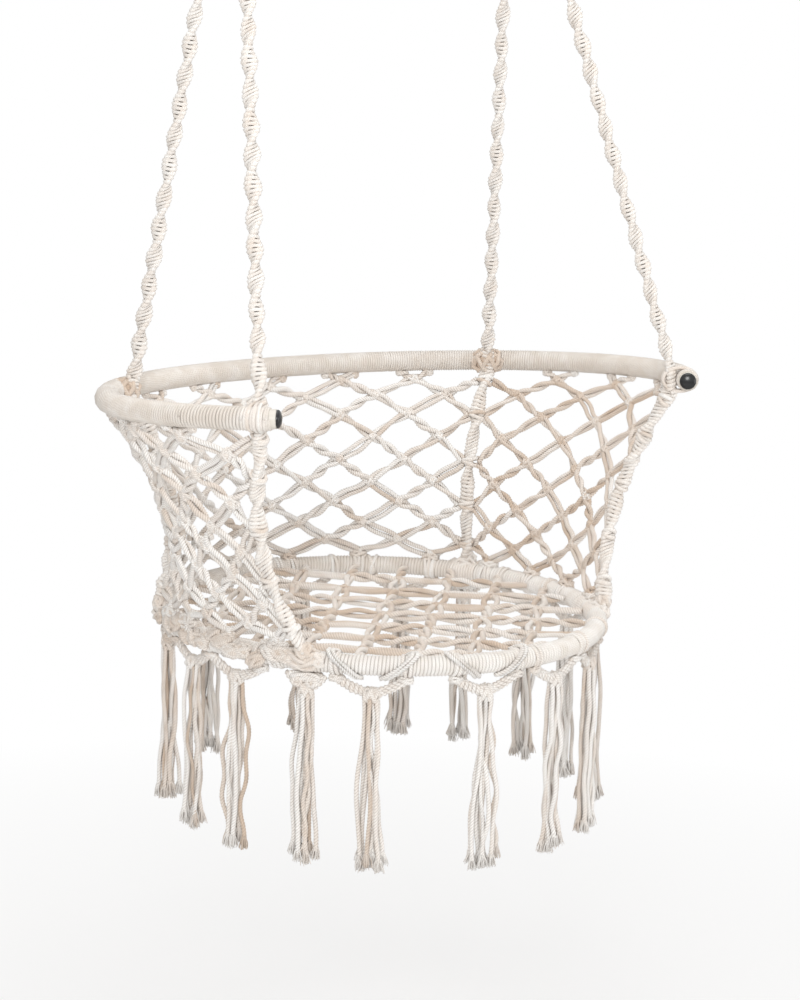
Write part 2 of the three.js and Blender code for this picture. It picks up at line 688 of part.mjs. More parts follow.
function windCord(stops, radius, sides) {
  const rings = stops.map((stop, i) => {
    const before = stops[Math.max(0, i - 1)];
    const after = stops[Math.min(stops.length - 1, i + 1)];
    const run = after.clone().sub(before).normalize();
    const across = run.clone().cross(UP).normalize();
    return oval(stop, across, across.clone().cross(run), radius, radius, sides);
  });
  return skin(rings);
}

const binding = bindingPath();
const bindingGap = leastGap(binding.stops, BINDING_CORD, binding.perTurn);
console.log(`least gap between the turns of a binding: ${bindingGap.toFixed(2)} mm`);

[['left', -1], ['right', 1]].forEach(([name, side]) => {
  const circle = Array.from({ length: SECTION_SIDES + 1 }, (_, k) => {
    const a = (k / SECTION_SIDES) * 2 * Math.PI;
    return new THREE.Vector2(HOOK_RING_RADIUS + HOOK_WIRE_RADIUS * Math.cos(a), HOOK_WIRE_RADIUS * Math.sin(a));
  });
  const ring = node(`hanging_ring_${name}`,
    fromManifold(toManifold(new THREE.LatheGeometry(circle, 3 * SECTION_SIDES))), STEEL, 0.35, 0.9);
  ring.position.set(side * HANG_HALF_SPAN, 0, RING_HEIGHT + HOOK_RING_RADIUS - HOOK_HEIGHT);
  const loop = node(`rope_loop_${name}`, loopGeometry(), COTTON);
  loop.position.set(side * HANG_HALF_SPAN, 0, RING_HEIGHT);
  const bound = node(`gathering_wrap_${name}`,
    windCord(binding.stops, BINDING_CORD / 2, BINDING_SIDES), COTTON_SHADE);
  bound.position.copy(loop.position);
  chair.add(ring);
  group.add(loop, bound);
});

// A tassel: its own origin is midway between the tops of its two arms, which it swings about.
function tasselGeometry(armReach, seed) {
  const knot = vec(0, 0, -TASSEL_KNOT_DROP);
  const pieces = [blob(knot, vec(1, 0, 0), UP,
    [TASSEL_KNOT_RADIUS, TASSEL_KNOT_DEPTH, TASSEL_KNOT_RADIUS], BRAID_SIDES)];
  for (const side of [-1, 1]) {
    const top = vec(side * armReach, 0, 0);
    const across = vec(0, 1, 0).cross(knot.clone().sub(top)).normalize();
    const full = along(top, knot.clone().sub(top).normalize(), TASSEL_ARM_RADIUS);
    const rings = [[top, TASSEL_ARM_TOP_RADIUS], [full, TASSEL_ARM_RADIUS], [knot, TASSEL_ARM_RADIUS]];
    pieces.push(skin(rings.map(([centre, radius]) => oval(centre, across, vec(0, 1, 0), radius, radius,
      BRAID_SIDES))));
  }
  const base = -TASSEL_KNOT_DROP - TASSEL_KNOT_RADIUS / 2;
  STRAND_LENGTH_SHARES.forEach((_, k) => {
    const a = (k / STRAND_LENGTH_SHARES.length) * 2 * Math.PI;
    const out = vec(Math.sin(a), Math.cos(a), 0);
    const side = vec(-out.y, out.x, 0);
    const tip = -TASSEL_LENGTH * STRAND_LENGTH_SHARES[(k + seed) % STRAND_LENGTH_SHARES.length];
    const rings = STRAND_STOP_SHARES.map((stop) => {
      const centre = vec(0, 0, lerp(base, tip, stop.down));
      centre.addScaledVector(out, lerp(STRAND_TOP_SPREAD, STRAND_TIP_SPREAD, stop.out));
      return oval(centre, out, side, STRAND_RADIUS, STRAND_RADIUS * stop.width, STRAND_SIDES);
    });
    pieces.push(skin(rings));
  });
  return join(pieces);
}

const sideAngles = SIDE_TASSEL_SHARES.map((share) => lerp(FRONT_RIB_ANGLE, REAR_RIB_ANGLE, share));
const tassels = [
  ...FRONT_TASSEL_ANGLES.map((angle) => ({ angle: angle * DEGREE, reach: TASSEL_ARM_REACH })),
  { angle: FRONT_RIB_ANGLE, reach: RIB_TASSEL_ARM_REACH },
  ...sideAngles.map((angle) => ({ angle, reach: TASSEL_ARM_REACH })),
  { angle: REAR_RIB_ANGLE, reach: RIB_TASSEL_ARM_REACH },
  ...BACK_TASSEL_SHARES.map((share) => (
    { angle: lerp(REAR_RIB_ANGLE, 2 * Math.PI - REAR_RIB_ANGLE, share), reach: TASSEL_ARM_REACH })),
  { angle: -REAR_RIB_ANGLE, reach: RIB_TASSEL_ARM_REACH },
  ...sideAngles.map((angle) => ({ angle: -angle, reach: TASSEL_ARM_REACH })).reverse(),
  { angle: -FRONT_RIB_ANGLE, reach: RIB_TASSEL_ARM_REACH }];
tassels.forEach(({ angle, reach }, i) => {
  const tassel = node(`tassel_${String(i + 1).padStart(2, '0')}`, tasselGeometry(reach, i), COTTON_SHADE);
  const armRise = TASSEL_ARM_TOP_RADIUS * Math.cos(Math.atan(TASSEL_KNOT_DROP / reach));
  tassel.position.copy(nearSeatRing(angle, 0, -flat(SEAT_WRAP_RADIUS) - FIT - TASSEL_ARM_PLAY - armRise));
  const travel = tilted(seatStation(angle).travel);
  const forward = PLUMB.clone().cross(travel).normalize();
  const basis = new THREE.Matrix4().makeBasis(travel, forward, travel.clone().cross(forward));
  tassel.quaternion.setFromRotationMatrix(basis);
  group.add(tassel);
});

// The chair turns about the line through the lowest points of the two hanging rings.
const hinge = vec(0, 0, RING_HEIGHT);
group.rotation.x = -HANG_LEAN;
group.position.copy(hinge).sub(hinge.clone().applyEuler(group.rotation));
group.position.z -= HOOK_HEIGHT;
chair.add(group);
chair.updateMatrixWorld(true);

export default chair;
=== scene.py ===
import json
import math

import bmesh
import bpy
import numpy as np
from bpy.props import FloatProperty, FloatVectorProperty, IntProperty, PointerProperty
from bpy.types import Operator, Panel, PropertyGroup
from mathutils import Matrix, Vector

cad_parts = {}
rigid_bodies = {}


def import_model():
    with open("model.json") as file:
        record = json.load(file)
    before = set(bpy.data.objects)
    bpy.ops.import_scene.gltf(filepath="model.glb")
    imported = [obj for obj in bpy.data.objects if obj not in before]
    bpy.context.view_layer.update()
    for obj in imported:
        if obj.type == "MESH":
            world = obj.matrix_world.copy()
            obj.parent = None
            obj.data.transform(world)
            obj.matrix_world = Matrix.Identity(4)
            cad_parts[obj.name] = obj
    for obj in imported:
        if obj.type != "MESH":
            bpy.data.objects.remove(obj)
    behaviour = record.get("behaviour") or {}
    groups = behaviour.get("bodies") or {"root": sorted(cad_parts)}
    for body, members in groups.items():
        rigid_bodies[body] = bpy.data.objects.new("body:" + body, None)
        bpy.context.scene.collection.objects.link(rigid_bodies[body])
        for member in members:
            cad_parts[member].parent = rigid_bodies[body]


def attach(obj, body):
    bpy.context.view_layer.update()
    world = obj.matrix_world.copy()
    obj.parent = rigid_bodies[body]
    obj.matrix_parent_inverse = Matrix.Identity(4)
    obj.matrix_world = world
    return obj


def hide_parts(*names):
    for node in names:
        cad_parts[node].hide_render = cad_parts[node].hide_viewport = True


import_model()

bl_info = {
    "name": "Hammock Chair",
    "version": (1, 0, 0),
    "blender": (4, 5, 0),
    "location": "3D View > Sidebar > Chair",
    "description": "Builds a hanging chair of knotted cotton cord on two steel rings",
    "category": "Add Mesh",
}

MM = 0.001
FULL_TURN = 2 * math.pi
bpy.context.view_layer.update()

# The chair's own measures, in metres from the middle of the seat ring.
HOOK_HEIGHT = 1207 * MM
SEAT_RADIUS = 300 * MM
SEAT_TILT = math.radians(3.04)
SEAT_WRAP_RADIUS = 14 * MM
BACK_HALF_WIDTH = 436 * MM
BACK_HALF_DEPTH = 322 * MM
BACK_FORWARD = 50.7 * MM
BACK_HEIGHT = 320 * MM
BACK_WRAP_RADIUS = 15.5 * MM
BACK_END_ANGLE = math.radians(54.3)
BARE_TUBE_END = 8 * MM
FRONT_ROPE_ANGLE = math.radians(58.7)
REAR_ROPE_ANGLE = math.radians(131.1)
FRONT_RIB_ANGLE = math.radians(57.5)
REAR_RIB_ANGLE = math.radians(117.5)
ROPE_REACH = 22 * MM
ROPE_KNOT_HEIGHT = 15 * MM
ROPE_HITCH_HALF = 14 * MM
RIB_REACH = 13 * MM
RIB_KNOT_HEIGHT = 17 * MM
RIB_HITCH_HALF = 20 * MM
FRONT_WAIST = 15 * MM
REAR_WAIST = 32 * MM
# How far the wall's front edges are drawn back, over what share of a panel and how fast that fades,
# and an exponent that sets it a little below the middle.
EDGE_PULL = 40 * MM
EDGE_PULL_SHARE = 0.5
EDGE_PULL_FADE = 1.5
EDGE_PULL_SKEW = 1.15
# Where the wall's net starts on the back ring and ends on the seat ring.
WALL_TOP_INSET = 3 * MM
WALL_SEAT_OUTSET = 3 * MM
NET_TOP_BITE = 1 * MM
NET_FOOT_RISE = 5 * MM
# Columns of diamonds in a side and in the back, the wall's rows of knots from the back ring down,
# and the seat net's step and sag.
SIDE_COLUMNS = 4
BACK_COLUMNS = 6
ROW_SHARES = (0.045, 0.12, 0.225, 0.345, 0.465, 0.58, 0.7, 0.815, 0.915, 1.0)
SEAT_KNOT_STEP = 50.5 * MM
SEAT_NET_SAG = 6 * MM
# Half the distance between the hooks, how the chair hangs from them, and the hanging rings and the
# loops through them.
HANG_HALF_SPAN = 239 * MM
RING_HEIGHT = 1151 * MM
HANG_LEAN = math.radians(1.88)
HOOK_RING_RADIUS = 30 * MM
HOOK_WIRE_RADIUS = 4 * MM
LOOP_OFFSET = 11.8 * MM
LOOP_RADIUS = 7 * MM
LOOP_LEG = 66 * MM
# The coarse cord beyond a front rope on the back ring, the play between neighbours, and the tassels.
COARSE_LENGTH = 85 * MM
FIT = 0.3 * MM
TASSEL_ARM_REACH = 44 * MM
RIB_TASSEL_ARM_REACH = 24 * MM
TASSEL_KNOT_DROP = 21 * MM
TASSEL_LENGTH = 258 * MM
UP = np.array((0.0, 0.0, 1.0))
PLUMB = np.array((0.0, math.sin(HANG_LEAN), -math.cos(HANG_LEAN)))

# The four places where a rope and a rib meet the rings: the rope's angle, the rib's angle, how far
# the wall narrows there, how far its edge is drawn back, and the side of the chair.
CORNERS = {
    "front_right": (FRONT_ROPE_ANGLE, FRONT_RIB_ANGLE, FRONT_WAIST, EDGE_PULL, 1),
    "rear_right": (REAR_ROPE_ANGLE, REAR_RIB_ANGLE, REAR_WAIST, 0.0, 1),
    "rear_left": (FULL_TURN - REAR_ROPE_ANGLE, FULL_TURN - REAR_RIB_ANGLE, REAR_WAIST, 0.0, -1),
    "front_left": (FULL_TURN - FRONT_ROPE_ANGLE, FULL_TURN - FRONT_RIB_ANGLE, FRONT_WAIST, EDGE_PULL, -1),
}
# The wall's panels: the corners where each starts and ends, and its columns of diamonds.
PANELS = {
    "side_net_right": ("front_right", "rear_right", SIDE_COLUMNS),
    "back_net": ("rear_right", "rear_left", BACK_COLUMNS),
    "side_net_left": ("rear_left", "front_left", SIDE_COLUMNS),
}
# Where each group of pieces starts its random draws.
SEEDS = {"ropes": 10, "ribs": 30, "wall": 50, "seat": 60, "seat_wraps": 80, "back_wraps": 90,
         "hitches": 110, "tassels": 200}


# Sizes and colours that a user may change.
class ChairSizes(PropertyGroup):
    net_cord: FloatProperty(name="Net cord", description="Thickness of each cord of the net",
                            default=6.0 * MM, unit="LENGTH")
    braid_cord: FloatProperty(name="Braid cord", description="Thickness of the cord in the braids",
                              default=5.2 * MM, unit="LENGTH")
    wound_cord: FloatProperty(name="Wound cord", description="Thickness of the cord round the rings",
                              default=3.8 * MM, unit="LENGTH")
    tassel_cord: FloatProperty(name="Tassel cord", description="Thickness of the loose tassel cords",
                               default=6.0 * MM, unit="LENGTH")
    tassel_cords: IntProperty(name="Tassel cords", description="Loose cords in each tassel", default=9)
    cord_lay: FloatProperty(name="Cord lay", description="Length of one turn of a cord's three plies",
                            default=11 * MM, unit="LENGTH")
    braid_bead: FloatProperty(name="Rope bead",
                              description="Length in which a rope's spiral turns half round",
                              default=40 * MM, unit="LENGTH")
    rib_bead: FloatProperty(name="Rib bead",
                            description="Length in which a rib's spiral turns half round",
                            default=60 * MM, unit="LENGTH")


def hex_colour(text):
    """An sRGB hex colour as linear numbers."""
    parts = [int(text[i:i + 2], 16) / 255 for i in (0, 2, 4)]
    return tuple(c / 12.92 if c <= 0.04045 else ((c + 0.055) / 1.055) ** 2.4 for c in parts)


class ChairColours(PropertyGroup):
    bright: FloatVectorProperty(name="Bleached cotton", description="Lightest cords", subtype="COLOR",
                                size=3, default=hex_colour("F8F6F3"))
    cream: FloatVectorProperty(name="Natural cotton", description="Most of the cords", subtype="COLOR",
                               size=3, default=hex_colour("EDE5DD"))
    # Painted shade, mixed in between the plies of a cord and in its creases.
    painted_shade: FloatVectorProperty(name="Hollows", description="Shade between the plies of a cord",
                                subtype="COLOR", size=3, default=hex_colour("8C7864"))
    beige: FloatVectorProperty(name="Raw cotton", description="Darkest cords", subtype="COLOR",
                               size=3, default=hex_colour("D6C3B1"))
    wound: FloatVectorProperty(name="Wound cotton", description="Cord wound round the rings",
                               subtype="COLOR", size=3, default=hex_colour("E3DBD2"))
    cap: FloatVectorProperty(name="End caps", description="Moulded plastic of the end caps",
                             subtype="COLOR", size=3, default=hex_colour("17181A"))


# Places on the chair.
def mm(*lengths):
    """Lengths given in millimetres, in metres."""
    return np.array(lengths) * MM


def unit(vectors):
    vectors = np.asarray(vectors, float)
    return vectors / np.linalg.norm(vectors, axis=-1, keepdims=True)


def leaned(directions):
    """Directions of the chair once it has swung to where it balances."""
    c, s = math.cos(HANG_LEAN), math.sin(HANG_LEAN)
    return np.asarray(directions, float) @ np.array([[1, 0, 0], [0, c, -s], [0, s, c]])


def hung(points):
    """Points of the hanging chair, measured from the hooks."""
    pivot = np.array((0, 0, RING_HEIGHT))
    return leaned(np.asarray(points, float) - pivot) + pivot - (0, 0, HOOK_HEIGHT)


def tilted(points):
    """Points of the seat ring's own plane, in the chair's frame."""
    points = np.asarray(points, float)
    c, s = math.cos(SEAT_TILT), math.sin(SEAT_TILT)
    return points @ np.array([[1, 0, 0], [0, c, s], [0, -s, c]])


def seat_station(angle):
    angle = np.asarray(angle, float)
    outward = np.stack([np.sin(angle), -np.cos(angle), np.zeros_like(angle)], -1)
    travel = np.stack([np.cos(angle), np.sin(angle), np.zeros_like(angle)], -1)
    return tilted(outward * SEAT_RADIUS), tilted(outward), tilted(travel), tilted(UP)


def back_station(angle):
    angle = np.asarray(angle, float)
    centre = np.stack([BACK_HALF_WIDTH * np.sin(angle), -BACK_FORWARD - BACK_HALF_DEPTH * np.cos(angle),
                       np.full_like(angle, BACK_HEIGHT)], -1)
    travel = unit(np.stack([BACK_HALF_WIDTH * np.cos(angle), BACK_HALF_DEPTH * np.sin(angle),
                            np.zeros_like(angle)], -1))
    return centre, np.cross(travel, UP), travel, UP


def seat_turn(_, distance):
    """A round ring turns by the same angle for a distance, wherever it is taken."""
    return distance / SEAT_RADIUS


def back_turn(angle, distance):
    return distance / math.hypot(BACK_HALF_WIDTH * math.cos(angle), BACK_HALF_DEPTH * math.sin(angle))


def near(station, angle, outset, rise):
    centre, outward, _, over = station(angle)
    return centre + outward * outset + over * rise


def draw_in(point, share, waist, pull):
    """Narrows the wall between the rings and draws its front edges back."""
    radius = math.hypot(point[0], point[1])
    angle = math.atan2(point[0], -point[1])
    narrowed = radius - waist * 4 * share * (1 - share)
    turned = angle + pull * math.sin(math.pi * max(share, 0) ** EDGE_PULL_SKEW) / radius
    return np.array((narrowed * math.sin(turned), -narrowed * math.cos(turned), point[2]))


def rib_point(corner, share):
    rope, rib, waist, pull, side = CORNERS[corner]
    top = near(back_station, rope, -ROPE_REACH, -ROPE_KNOT_HEIGHT - FIT)
    foot = near(seat_station, rib, RIB_REACH, RIB_KNOT_HEIGHT + FIT)
    return draw_in(top + (foot - top) * share, share, waist, pull * side)


def wall_point(panel, across, share):
    start, end, _ = PANELS[panel]
    rope_a, rib_a, waist_a, pull_a, side_a = CORNERS[start]
    rope_b, rib_b, waist_b, pull_b, side_b = CORNERS[end]
    mix = lambda a, b: a + (b - a) * across
    top = near(back_station, mix(rope_a, rope_b), -WALL_TOP_INSET, -BACK_WRAP_RADIUS + NET_TOP_BITE)
    foot = near(seat_station, mix(rib_a, rib_b), WALL_SEAT_OUTSET, SEAT_WRAP_RADIUS + NET_FOOT_RISE)
    fade = lambda distance: max(0.0, 1 - distance / EDGE_PULL_SHARE) ** EDGE_PULL_FADE
    pull = pull_a * side_a * fade(across) + pull_b * side_b * fade(1 - across)
    return draw_in(top + (foot - top) * share, share, mix(waist_a, waist_b), pull)


# Cords: every soft piece is a bundle of them. Where the plies aren't modelled, the material draws
# them, one turn in each PLY_LAY.
PLIES = 3
PLY_LAY = 9 * MM


class Bundle:
    """Gathers swept cords and makes them one mesh with a UV map along the cords and a tone for each."""

    def __init__(self):
        self.points, self.quads, self.uvs, self.tones, self.fans, self.fan_uvs = [], [], [], [], [], []
        self.count = 0

    def cord(self, path, guide, radius, sides=6, lobe=0.0, lay=0.0, closed=False, tone=0.5, turn=0.0):
        path = np.asarray(path, float)
        n = len(path)
        ahead = np.roll(path, -1, 0) - np.roll(path, 1, 0) if closed else np.gradient(path, axis=0)
        t = unit(ahead)
        guide = np.broadcast_to(np.asarray(guide, float), path.shape)
        g = unit(guide - (guide * t).sum(-1, keepdims=True) * t)
        b = np.cross(t, g)
        steps = np.linalg.norm(np.diff(path, axis=0), axis=1)
        run = np.concatenate([[0], np.cumsum(steps)])
        k = np.arange(sides) * FULL_TURN / sides
        twist = FULL_TURN * run / lay if lay else np.zeros(n)
        angle = k[None] + twist[:, None] + turn
        section = 1 + lobe * np.cos(PLIES * k)
        reach = np.broadcast_to(np.asarray(radius, float), (n,))[:, None] * section[None]
        ring = path[:, None] + (reach * np.cos(angle))[..., None] * g[:, None] \
            + (reach * np.sin(angle))[..., None] * b[:, None]
        first = self.count
        last = n if closed else n - 1
        i, j = np.meshgrid(np.arange(last), np.arange(sides), indexing="ij")
        i2, j2 = (i + 1) % n, (j + 1) % sides
        quad = np.stack([i * sides + j, i * sides + j2, i2 * sides + j2, i2 * sides + j], -1) + first
        run2 = np.append(run, run[-1] + np.linalg.norm(path[0] - path[-1]))
        u, u2 = run2[i], run2[i + 1]
        ply = 0 if lay else 1 / PLY_LAY
        v, v2, beside = j / sides, (j + 1) / sides, ply * (u2 - u)
        v, v2 = v + ply * u, v2 + ply * u
        uv = np.stack([np.stack([u, v], -1), np.stack([u, v2], -1), np.stack([u2, v2 + beside], -1),
                       np.stack([u2, v + beside], -1)], -2)
        self.points.append(ring.reshape(-1, 3))
        self.quads.append(quad.reshape(-1, 4))
        self.uvs.append(uv.reshape(-1, 2))
        self.tones.append(np.full(n * sides, tone))
        self.count += n * sides
        if not closed:
            for end, order in ((0, -1), (n - 1, 1)):
                self.fans.append([first + end * sides + m for m in range(sides)][::order])
                self.fan_uvs += [(run[end], 0.0)] * sides

    def mesh(self, name):
        points = hung(np.concatenate(self.points))
        quads = np.concatenate(self.quads)
        sizes = np.concatenate([np.full(len(quads), 4), [len(fan) for fan in self.fans]]).astype(int)
        loops = np.concatenate([quads.ravel(), *[np.array(fan) for fan in self.fans]]).astype(int)
        mesh = bpy.data.meshes.new(name)
        mesh.vertices.add(len(points))
        mesh.vertices.foreach_set("co", points.ravel())
        mesh.loops.add(len(loops))
        mesh.loops.foreach_set("vertex_index", loops)
        mesh.polygons.add(len(sizes))
        mesh.polygons.foreach_set("loop_start", np.concatenate([[0], np.cumsum(sizes)[:-1]]))
        mesh.update(calc_edges=True)
        mesh.polygons.foreach_set("use_smooth", np.ones(len(sizes), bool))
        uv = np.concatenate(self.uvs + ([np.array(self.fan_uvs)] if self.fan_uvs else []))
        mesh.uv_layers.new(name="cord").data.foreach_set("uv", uv.ravel())
        tone = mesh.attributes.new("tone", "FLOAT", "POINT")
        tone.data.foreach_set("value", np.concatenate(self.tones))
        mesh.validate()
        return mesh


def piece(bundle, name, body, nodes, material):
    """Makes the bundle an object that rides on a body and stands for the given CAD nodes."""
    made = bpy.data.objects.new(name, bundle.mesh(name))
    bpy.context.scene.collection.objects.link(made)
    made.data.materials.append(material)
    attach(made, body)
    if nodes:
        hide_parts(*nodes)
    return made


def steps_for(length, step):
    return max(3, int(math.ceil(length / step)) + 1)


# A hand-tied braid: steps in a turn, its tight pitch beside its cord, in how many places it slackens
# and strays, and how far, how it swells at a knot, and how its strands and core lie and differ.
BRAID_STEPS = 14
TIGHT_PITCH = 1.02
SLACK_STOPS = 14
STRAY_STOPS = 24
STRAY = 0.05
STRAY_IF_LOOSE = 0.1
SWELL = 0.24
SWELL_REACH = 9 * MM
RIPPLE = 0.12
RIPPLE_RATE = 3.1
EDGE_THICKENING = 0.22
EDGE_SHARPNESS = 6
CORE_STEP = 4
CORE_INSET = 0.8
STRAND_TONES_APART = 0.08
# The braid's core is toned darker: painted shade in the gaps between the strands.
CORE_PAINTED_SHADE = 0.1


def spiral_braid(bundle, path, guide, half_width, half_depth, cord, bead, start_turn, rng,
                 pitch=None, tone=0.5, swells=(), loose=0.15, slant=0.0):
    """A spiral of half knots: two cords wind crosswise round a core, and the oval they make turns."""
    path = np.asarray(path, float)
    lengths = np.linalg.norm(np.diff(path, axis=0), axis=1)
    run = np.concatenate([[0], np.cumsum(lengths)])
    pitch = pitch or cord * TIGHT_PITCH
    count = int(run[-1] / (2 * pitch) * BRAID_STEPS)
    s = np.linspace(0, run[-1], count)
    centre = np.stack([np.interp(s, run, path[:, i]) for i in range(3)], -1)
    t = unit(np.gradient(centre, axis=0))
    guide = np.asarray(guide, float)
    u0 = unit(guide - (t @ guide)[:, None] * t)
    v0 = np.cross(t, u0)
    slack = np.interp(s, np.linspace(0, run[-1], SLACK_STOPS), loose * rng.standard_normal(SLACK_STOPS))
    spin = start_turn + slack + (math.pi * s / bead if bead else 0 * s)
    u = np.cos(spin)[:, None] * u0 + np.sin(spin)[:, None] * v0
    v = -np.sin(spin)[:, None] * u0 + np.cos(spin)[:, None] * v0
    stray = 1 + (STRAY + STRAY_IF_LOOSE * loose) * rng.standard_normal(STRAY_STOPS)
    wander = np.interp(s, np.linspace(0, run[-1], STRAY_STOPS), stray)
    for place in swells:
        wander = wander + SWELL * np.exp(-((s - place) / SWELL_REACH) ** 2)
    r = cord / 2
    for strand in range(2):
        a = math.pi * s / pitch + strand * math.pi
        edge = np.abs(np.cos(a)) ** EDGE_SHARPNESS
        x = (half_width - r) * np.cos(a) * wander
        y = (half_depth - r) * np.sin(a) * wander * (1 + RIPPLE * np.sin(RIPPLE_RATE * a + strand))
        outward = unit(x[:, None] * u + y[:, None] * v)
        line = centre + x[:, None] * u + y[:, None] * v - t * (slant * np.cos(a))[:, None]
        bundle.cord(line, outward, r * (1 + EDGE_THICKENING * edge),
                    tone=tone + STRAND_TONES_APART * (strand - 0.5))
    core = slice(None, None, CORE_STEP)
    for side in (-1, 1):
        line = centre[core] + side * (half_width - half_depth) * u[core]
        # Painted shade: the core seen between the strands is darker.
        bundle.cord(line, u[core], (half_depth - CORE_INSET * r) * wander[core], tone=tone - CORE_PAINTED_SHADE)


# Two cords between knots: a step as a share of their lay, the turns they may take round each
# other, how far they part as shares of the gap and the cord, how far they sway and stray, how deep
# their plies are cut, and how much they differ in thickness and tone.
PAIR_STEP = 0.16
PAIR_TURNS = (0.0, 0.0, 0.5, -0.5, 1.0, -1.0)
LEAST_GAP = 0.25
CROSSED_GAP = 0.1
PAIR_SPACING = 0.45
PAIR_SWAY = (0.9 * MM, 0.6 * MM)
PAIR_LIFT = (0.6 * MM, 0.35 * MM)
PAIR_STRAY = 0.4 * MM
THICKNESS_SPREAD = 0.05
PLY_DEPTH = 0.17
PAIR_TONE_SPREAD = 0.13


def strand_pair(bundle, start, end, normal, cord, lay, rng, gap=1.6 * MM, trim=2.5 * MM, tone=0.5):
    """Two cords from one knot to the next, parted by a slit or laid once round each other."""
    run = end - start
    length = np.linalg.norm(run)
    d = run / length
    a, b = start + d * trim, end - d * trim
    n = steps_for(length - 2 * trim, lay * PAIR_STEP)
    s = np.linspace(0, 1, n)
    aside = unit(np.cross(normal, d))
    turns = rng.choice(PAIR_TURNS)
    swell = np.sin(math.pi * s)
    parted = LEAST_GAP + (1 - LEAST_GAP) * rng.random() if turns == 0 else CROSSED_GAP
    apart = cord * PAIR_SPACING + gap * parted * swell
    around = FULL_TURN * turns * s
    sway = rng.normal(0, PAIR_SWAY[0]) * swell + rng.normal(0, PAIR_SWAY[1]) * np.sin(FULL_TURN * s)
    for sign in (-1, 1):
        wave = np.sin(3 * math.pi * s)
        lift = rng.normal(0, PAIR_LIFT[0]) * swell + rng.normal(0, PAIR_LIFT[1]) * wave
        stray = rng.normal(0, PAIR_STRAY) * np.sin(3 * math.pi * s + rng.random())
        path = a + (b - a) * s[:, None] + aside * (sign * apart * np.cos(around) + sway + stray)[:, None] \
            + normal * (sign * apart * np.sin(around) + lift)[:, None]
        bundle.cord(path, normal, cord / 2 * (1 + THICKNESS_SPREAD * rng.standard_normal()),
                    lobe=PLY_DEPTH, lay=lay, turn=rng.random() * 6,
                    tone=tone + PAIR_TONE_SPREAD * rng.standard_normal())


def loop_round(bundle, centre, across, deep, half_across, half_deep, cord, tone, steps=14):
    """One closed turn of cord, an oval in the plane of two directions."""
    a = np.linspace(0, FULL_TURN, steps, endpoint=False)[:, None]
    path = centre + across * half_across * np.cos(a) + deep * half_deep * np.sin(a)
    outward = across * np.cos(a) + deep * np.sin(a)
    bundle.cord(path, outward, cord / 2, closed=True, tone=tone)


# A knot: steps in each of its leads, how far it climbs from its waist, how far it weaves over and
# under, and its core's length, thickness and darker tone, painted shade in the gaps between its turns.
LEAD_STEPS = 13
KNOT_CLIMB = 1.15
KNOT_WEAVE = 0.17
KNOT_TONE_SPREAD = 0.12
KNOT_CORE_LENGTH = 1.05
KNOT_CORE_SHARE = 0.46
KNOT_CORE_PAINTED_SHADE = 0.1


def woven_lump(bundle, centre, axes, half, cord, rng, leads=3, bights=4, tone=0.5):
    """A knot drawn tight round the cords that run through it along the last of its three axes."""
    a, b, c = axes
    t = np.linspace(0, FULL_TURN * leads, leads * LEAD_STEPS, endpoint=False)
    climb = KNOT_CLIMB * np.sin(bights * t / leads + rng.random() * 6)
    over = 1 + KNOT_WEAVE * np.sin(2 * bights * t / leads + rng.random() * 6)
    x, y, z = np.cos(climb) * np.cos(t), np.cos(climb) * np.sin(t), np.sin(climb)
    outward = x[:, None] * a + y[:, None] * b + z[:, None] * c
    surface = half[0] * x[:, None] * a + half[1] * y[:, None] * b + half[2] * z[:, None] * c
    path = centre + over[:, None] * surface
    bundle.cord(path, outward, cord / 2, closed=True,
                tone=tone + KNOT_TONE_SPREAD * rng.standard_normal())
    s = np.linspace(-1, 1, 9)
    core = centre + (s * half[2] * KNOT_CORE_LENGTH)[:, None] * c
    thick = np.sqrt(KNOT_CORE_LENGTH - s * s) * (half[0] + half[1]) * KNOT_CORE_SHARE
    # The core is a little darker: painted shade in the gaps between the turns.
    bundle.cord(core, b, thick, sides=8, tone=tone - KNOT_CORE_PAINTED_SHADE)


# A net knot: how far it leans and stretches, and its half sizes and own cord as shares of the cord.
KNOT_LEAN = 0.3
KNOT_STRETCH = 0.1
KNOT_WIDE, KNOT_THICK, KNOT_TALL = 0.95, 0.62, 0.85
KNOT_CORD = 0.78


def net_knot(bundle, centre, right, down, cord, rng, size=1.0, tone=0.5):
    """A small square knot of the net, pulled out of shape as hand-tied knots are."""
    a = unit(right + down * rng.normal(0, KNOT_LEAN))
    c = unit(np.cross(right, down))
    b = np.cross(c, a)
    stretch = size * (1 + KNOT_STRETCH * rng.standard_normal(2))
    half = (cord * KNOT_WIDE * stretch[0], cord * KNOT_THICK * size, cord * KNOT_TALL * stretch[1])
    woven_lump(bundle, centre, (a, c, b), half, cord * KNOT_CORD, rng, tone=tone)


# Wound cord: steps in a turn, and how far a turn lies above or below its neighbours.
WIND_STEPS = 12
WIND_STRAY = 0.12 * MM


def wind(bundle, station, turn_of, start, end, radius, cord, pitch, rng, tone=0.5):
    """Cord wound close round a ring, from one angle to another."""
    angles = [start]
    while angles[-1] < end:
        angles.append(angles[-1] + turn_of(angles[-1], pitch))
    turns = np.arange(len(angles))
    count = (len(angles) - 1) * WIND_STEPS
    share = np.linspace(0, len(angles) - 1, count)
    along = np.interp(share, turns, np.array(angles))
    along = start + (along - start) * (end - start) / (angles[-1] - start)
    centre, outward, _, over = station(along)
    phase = FULL_TURN * share
    over = np.broadcast_to(over, centre.shape)
    out = outward * np.cos(phase)[:, None] + over * np.sin(phase)[:, None]
    stray = np.interp(share, turns, rng.normal(0, WIND_STRAY, len(turns)))
    path = centre + out * (radius - cord / 2 + stray)[:, None]
    bundle.cord(path, out, cord / 2, sides=5, tone=tone)


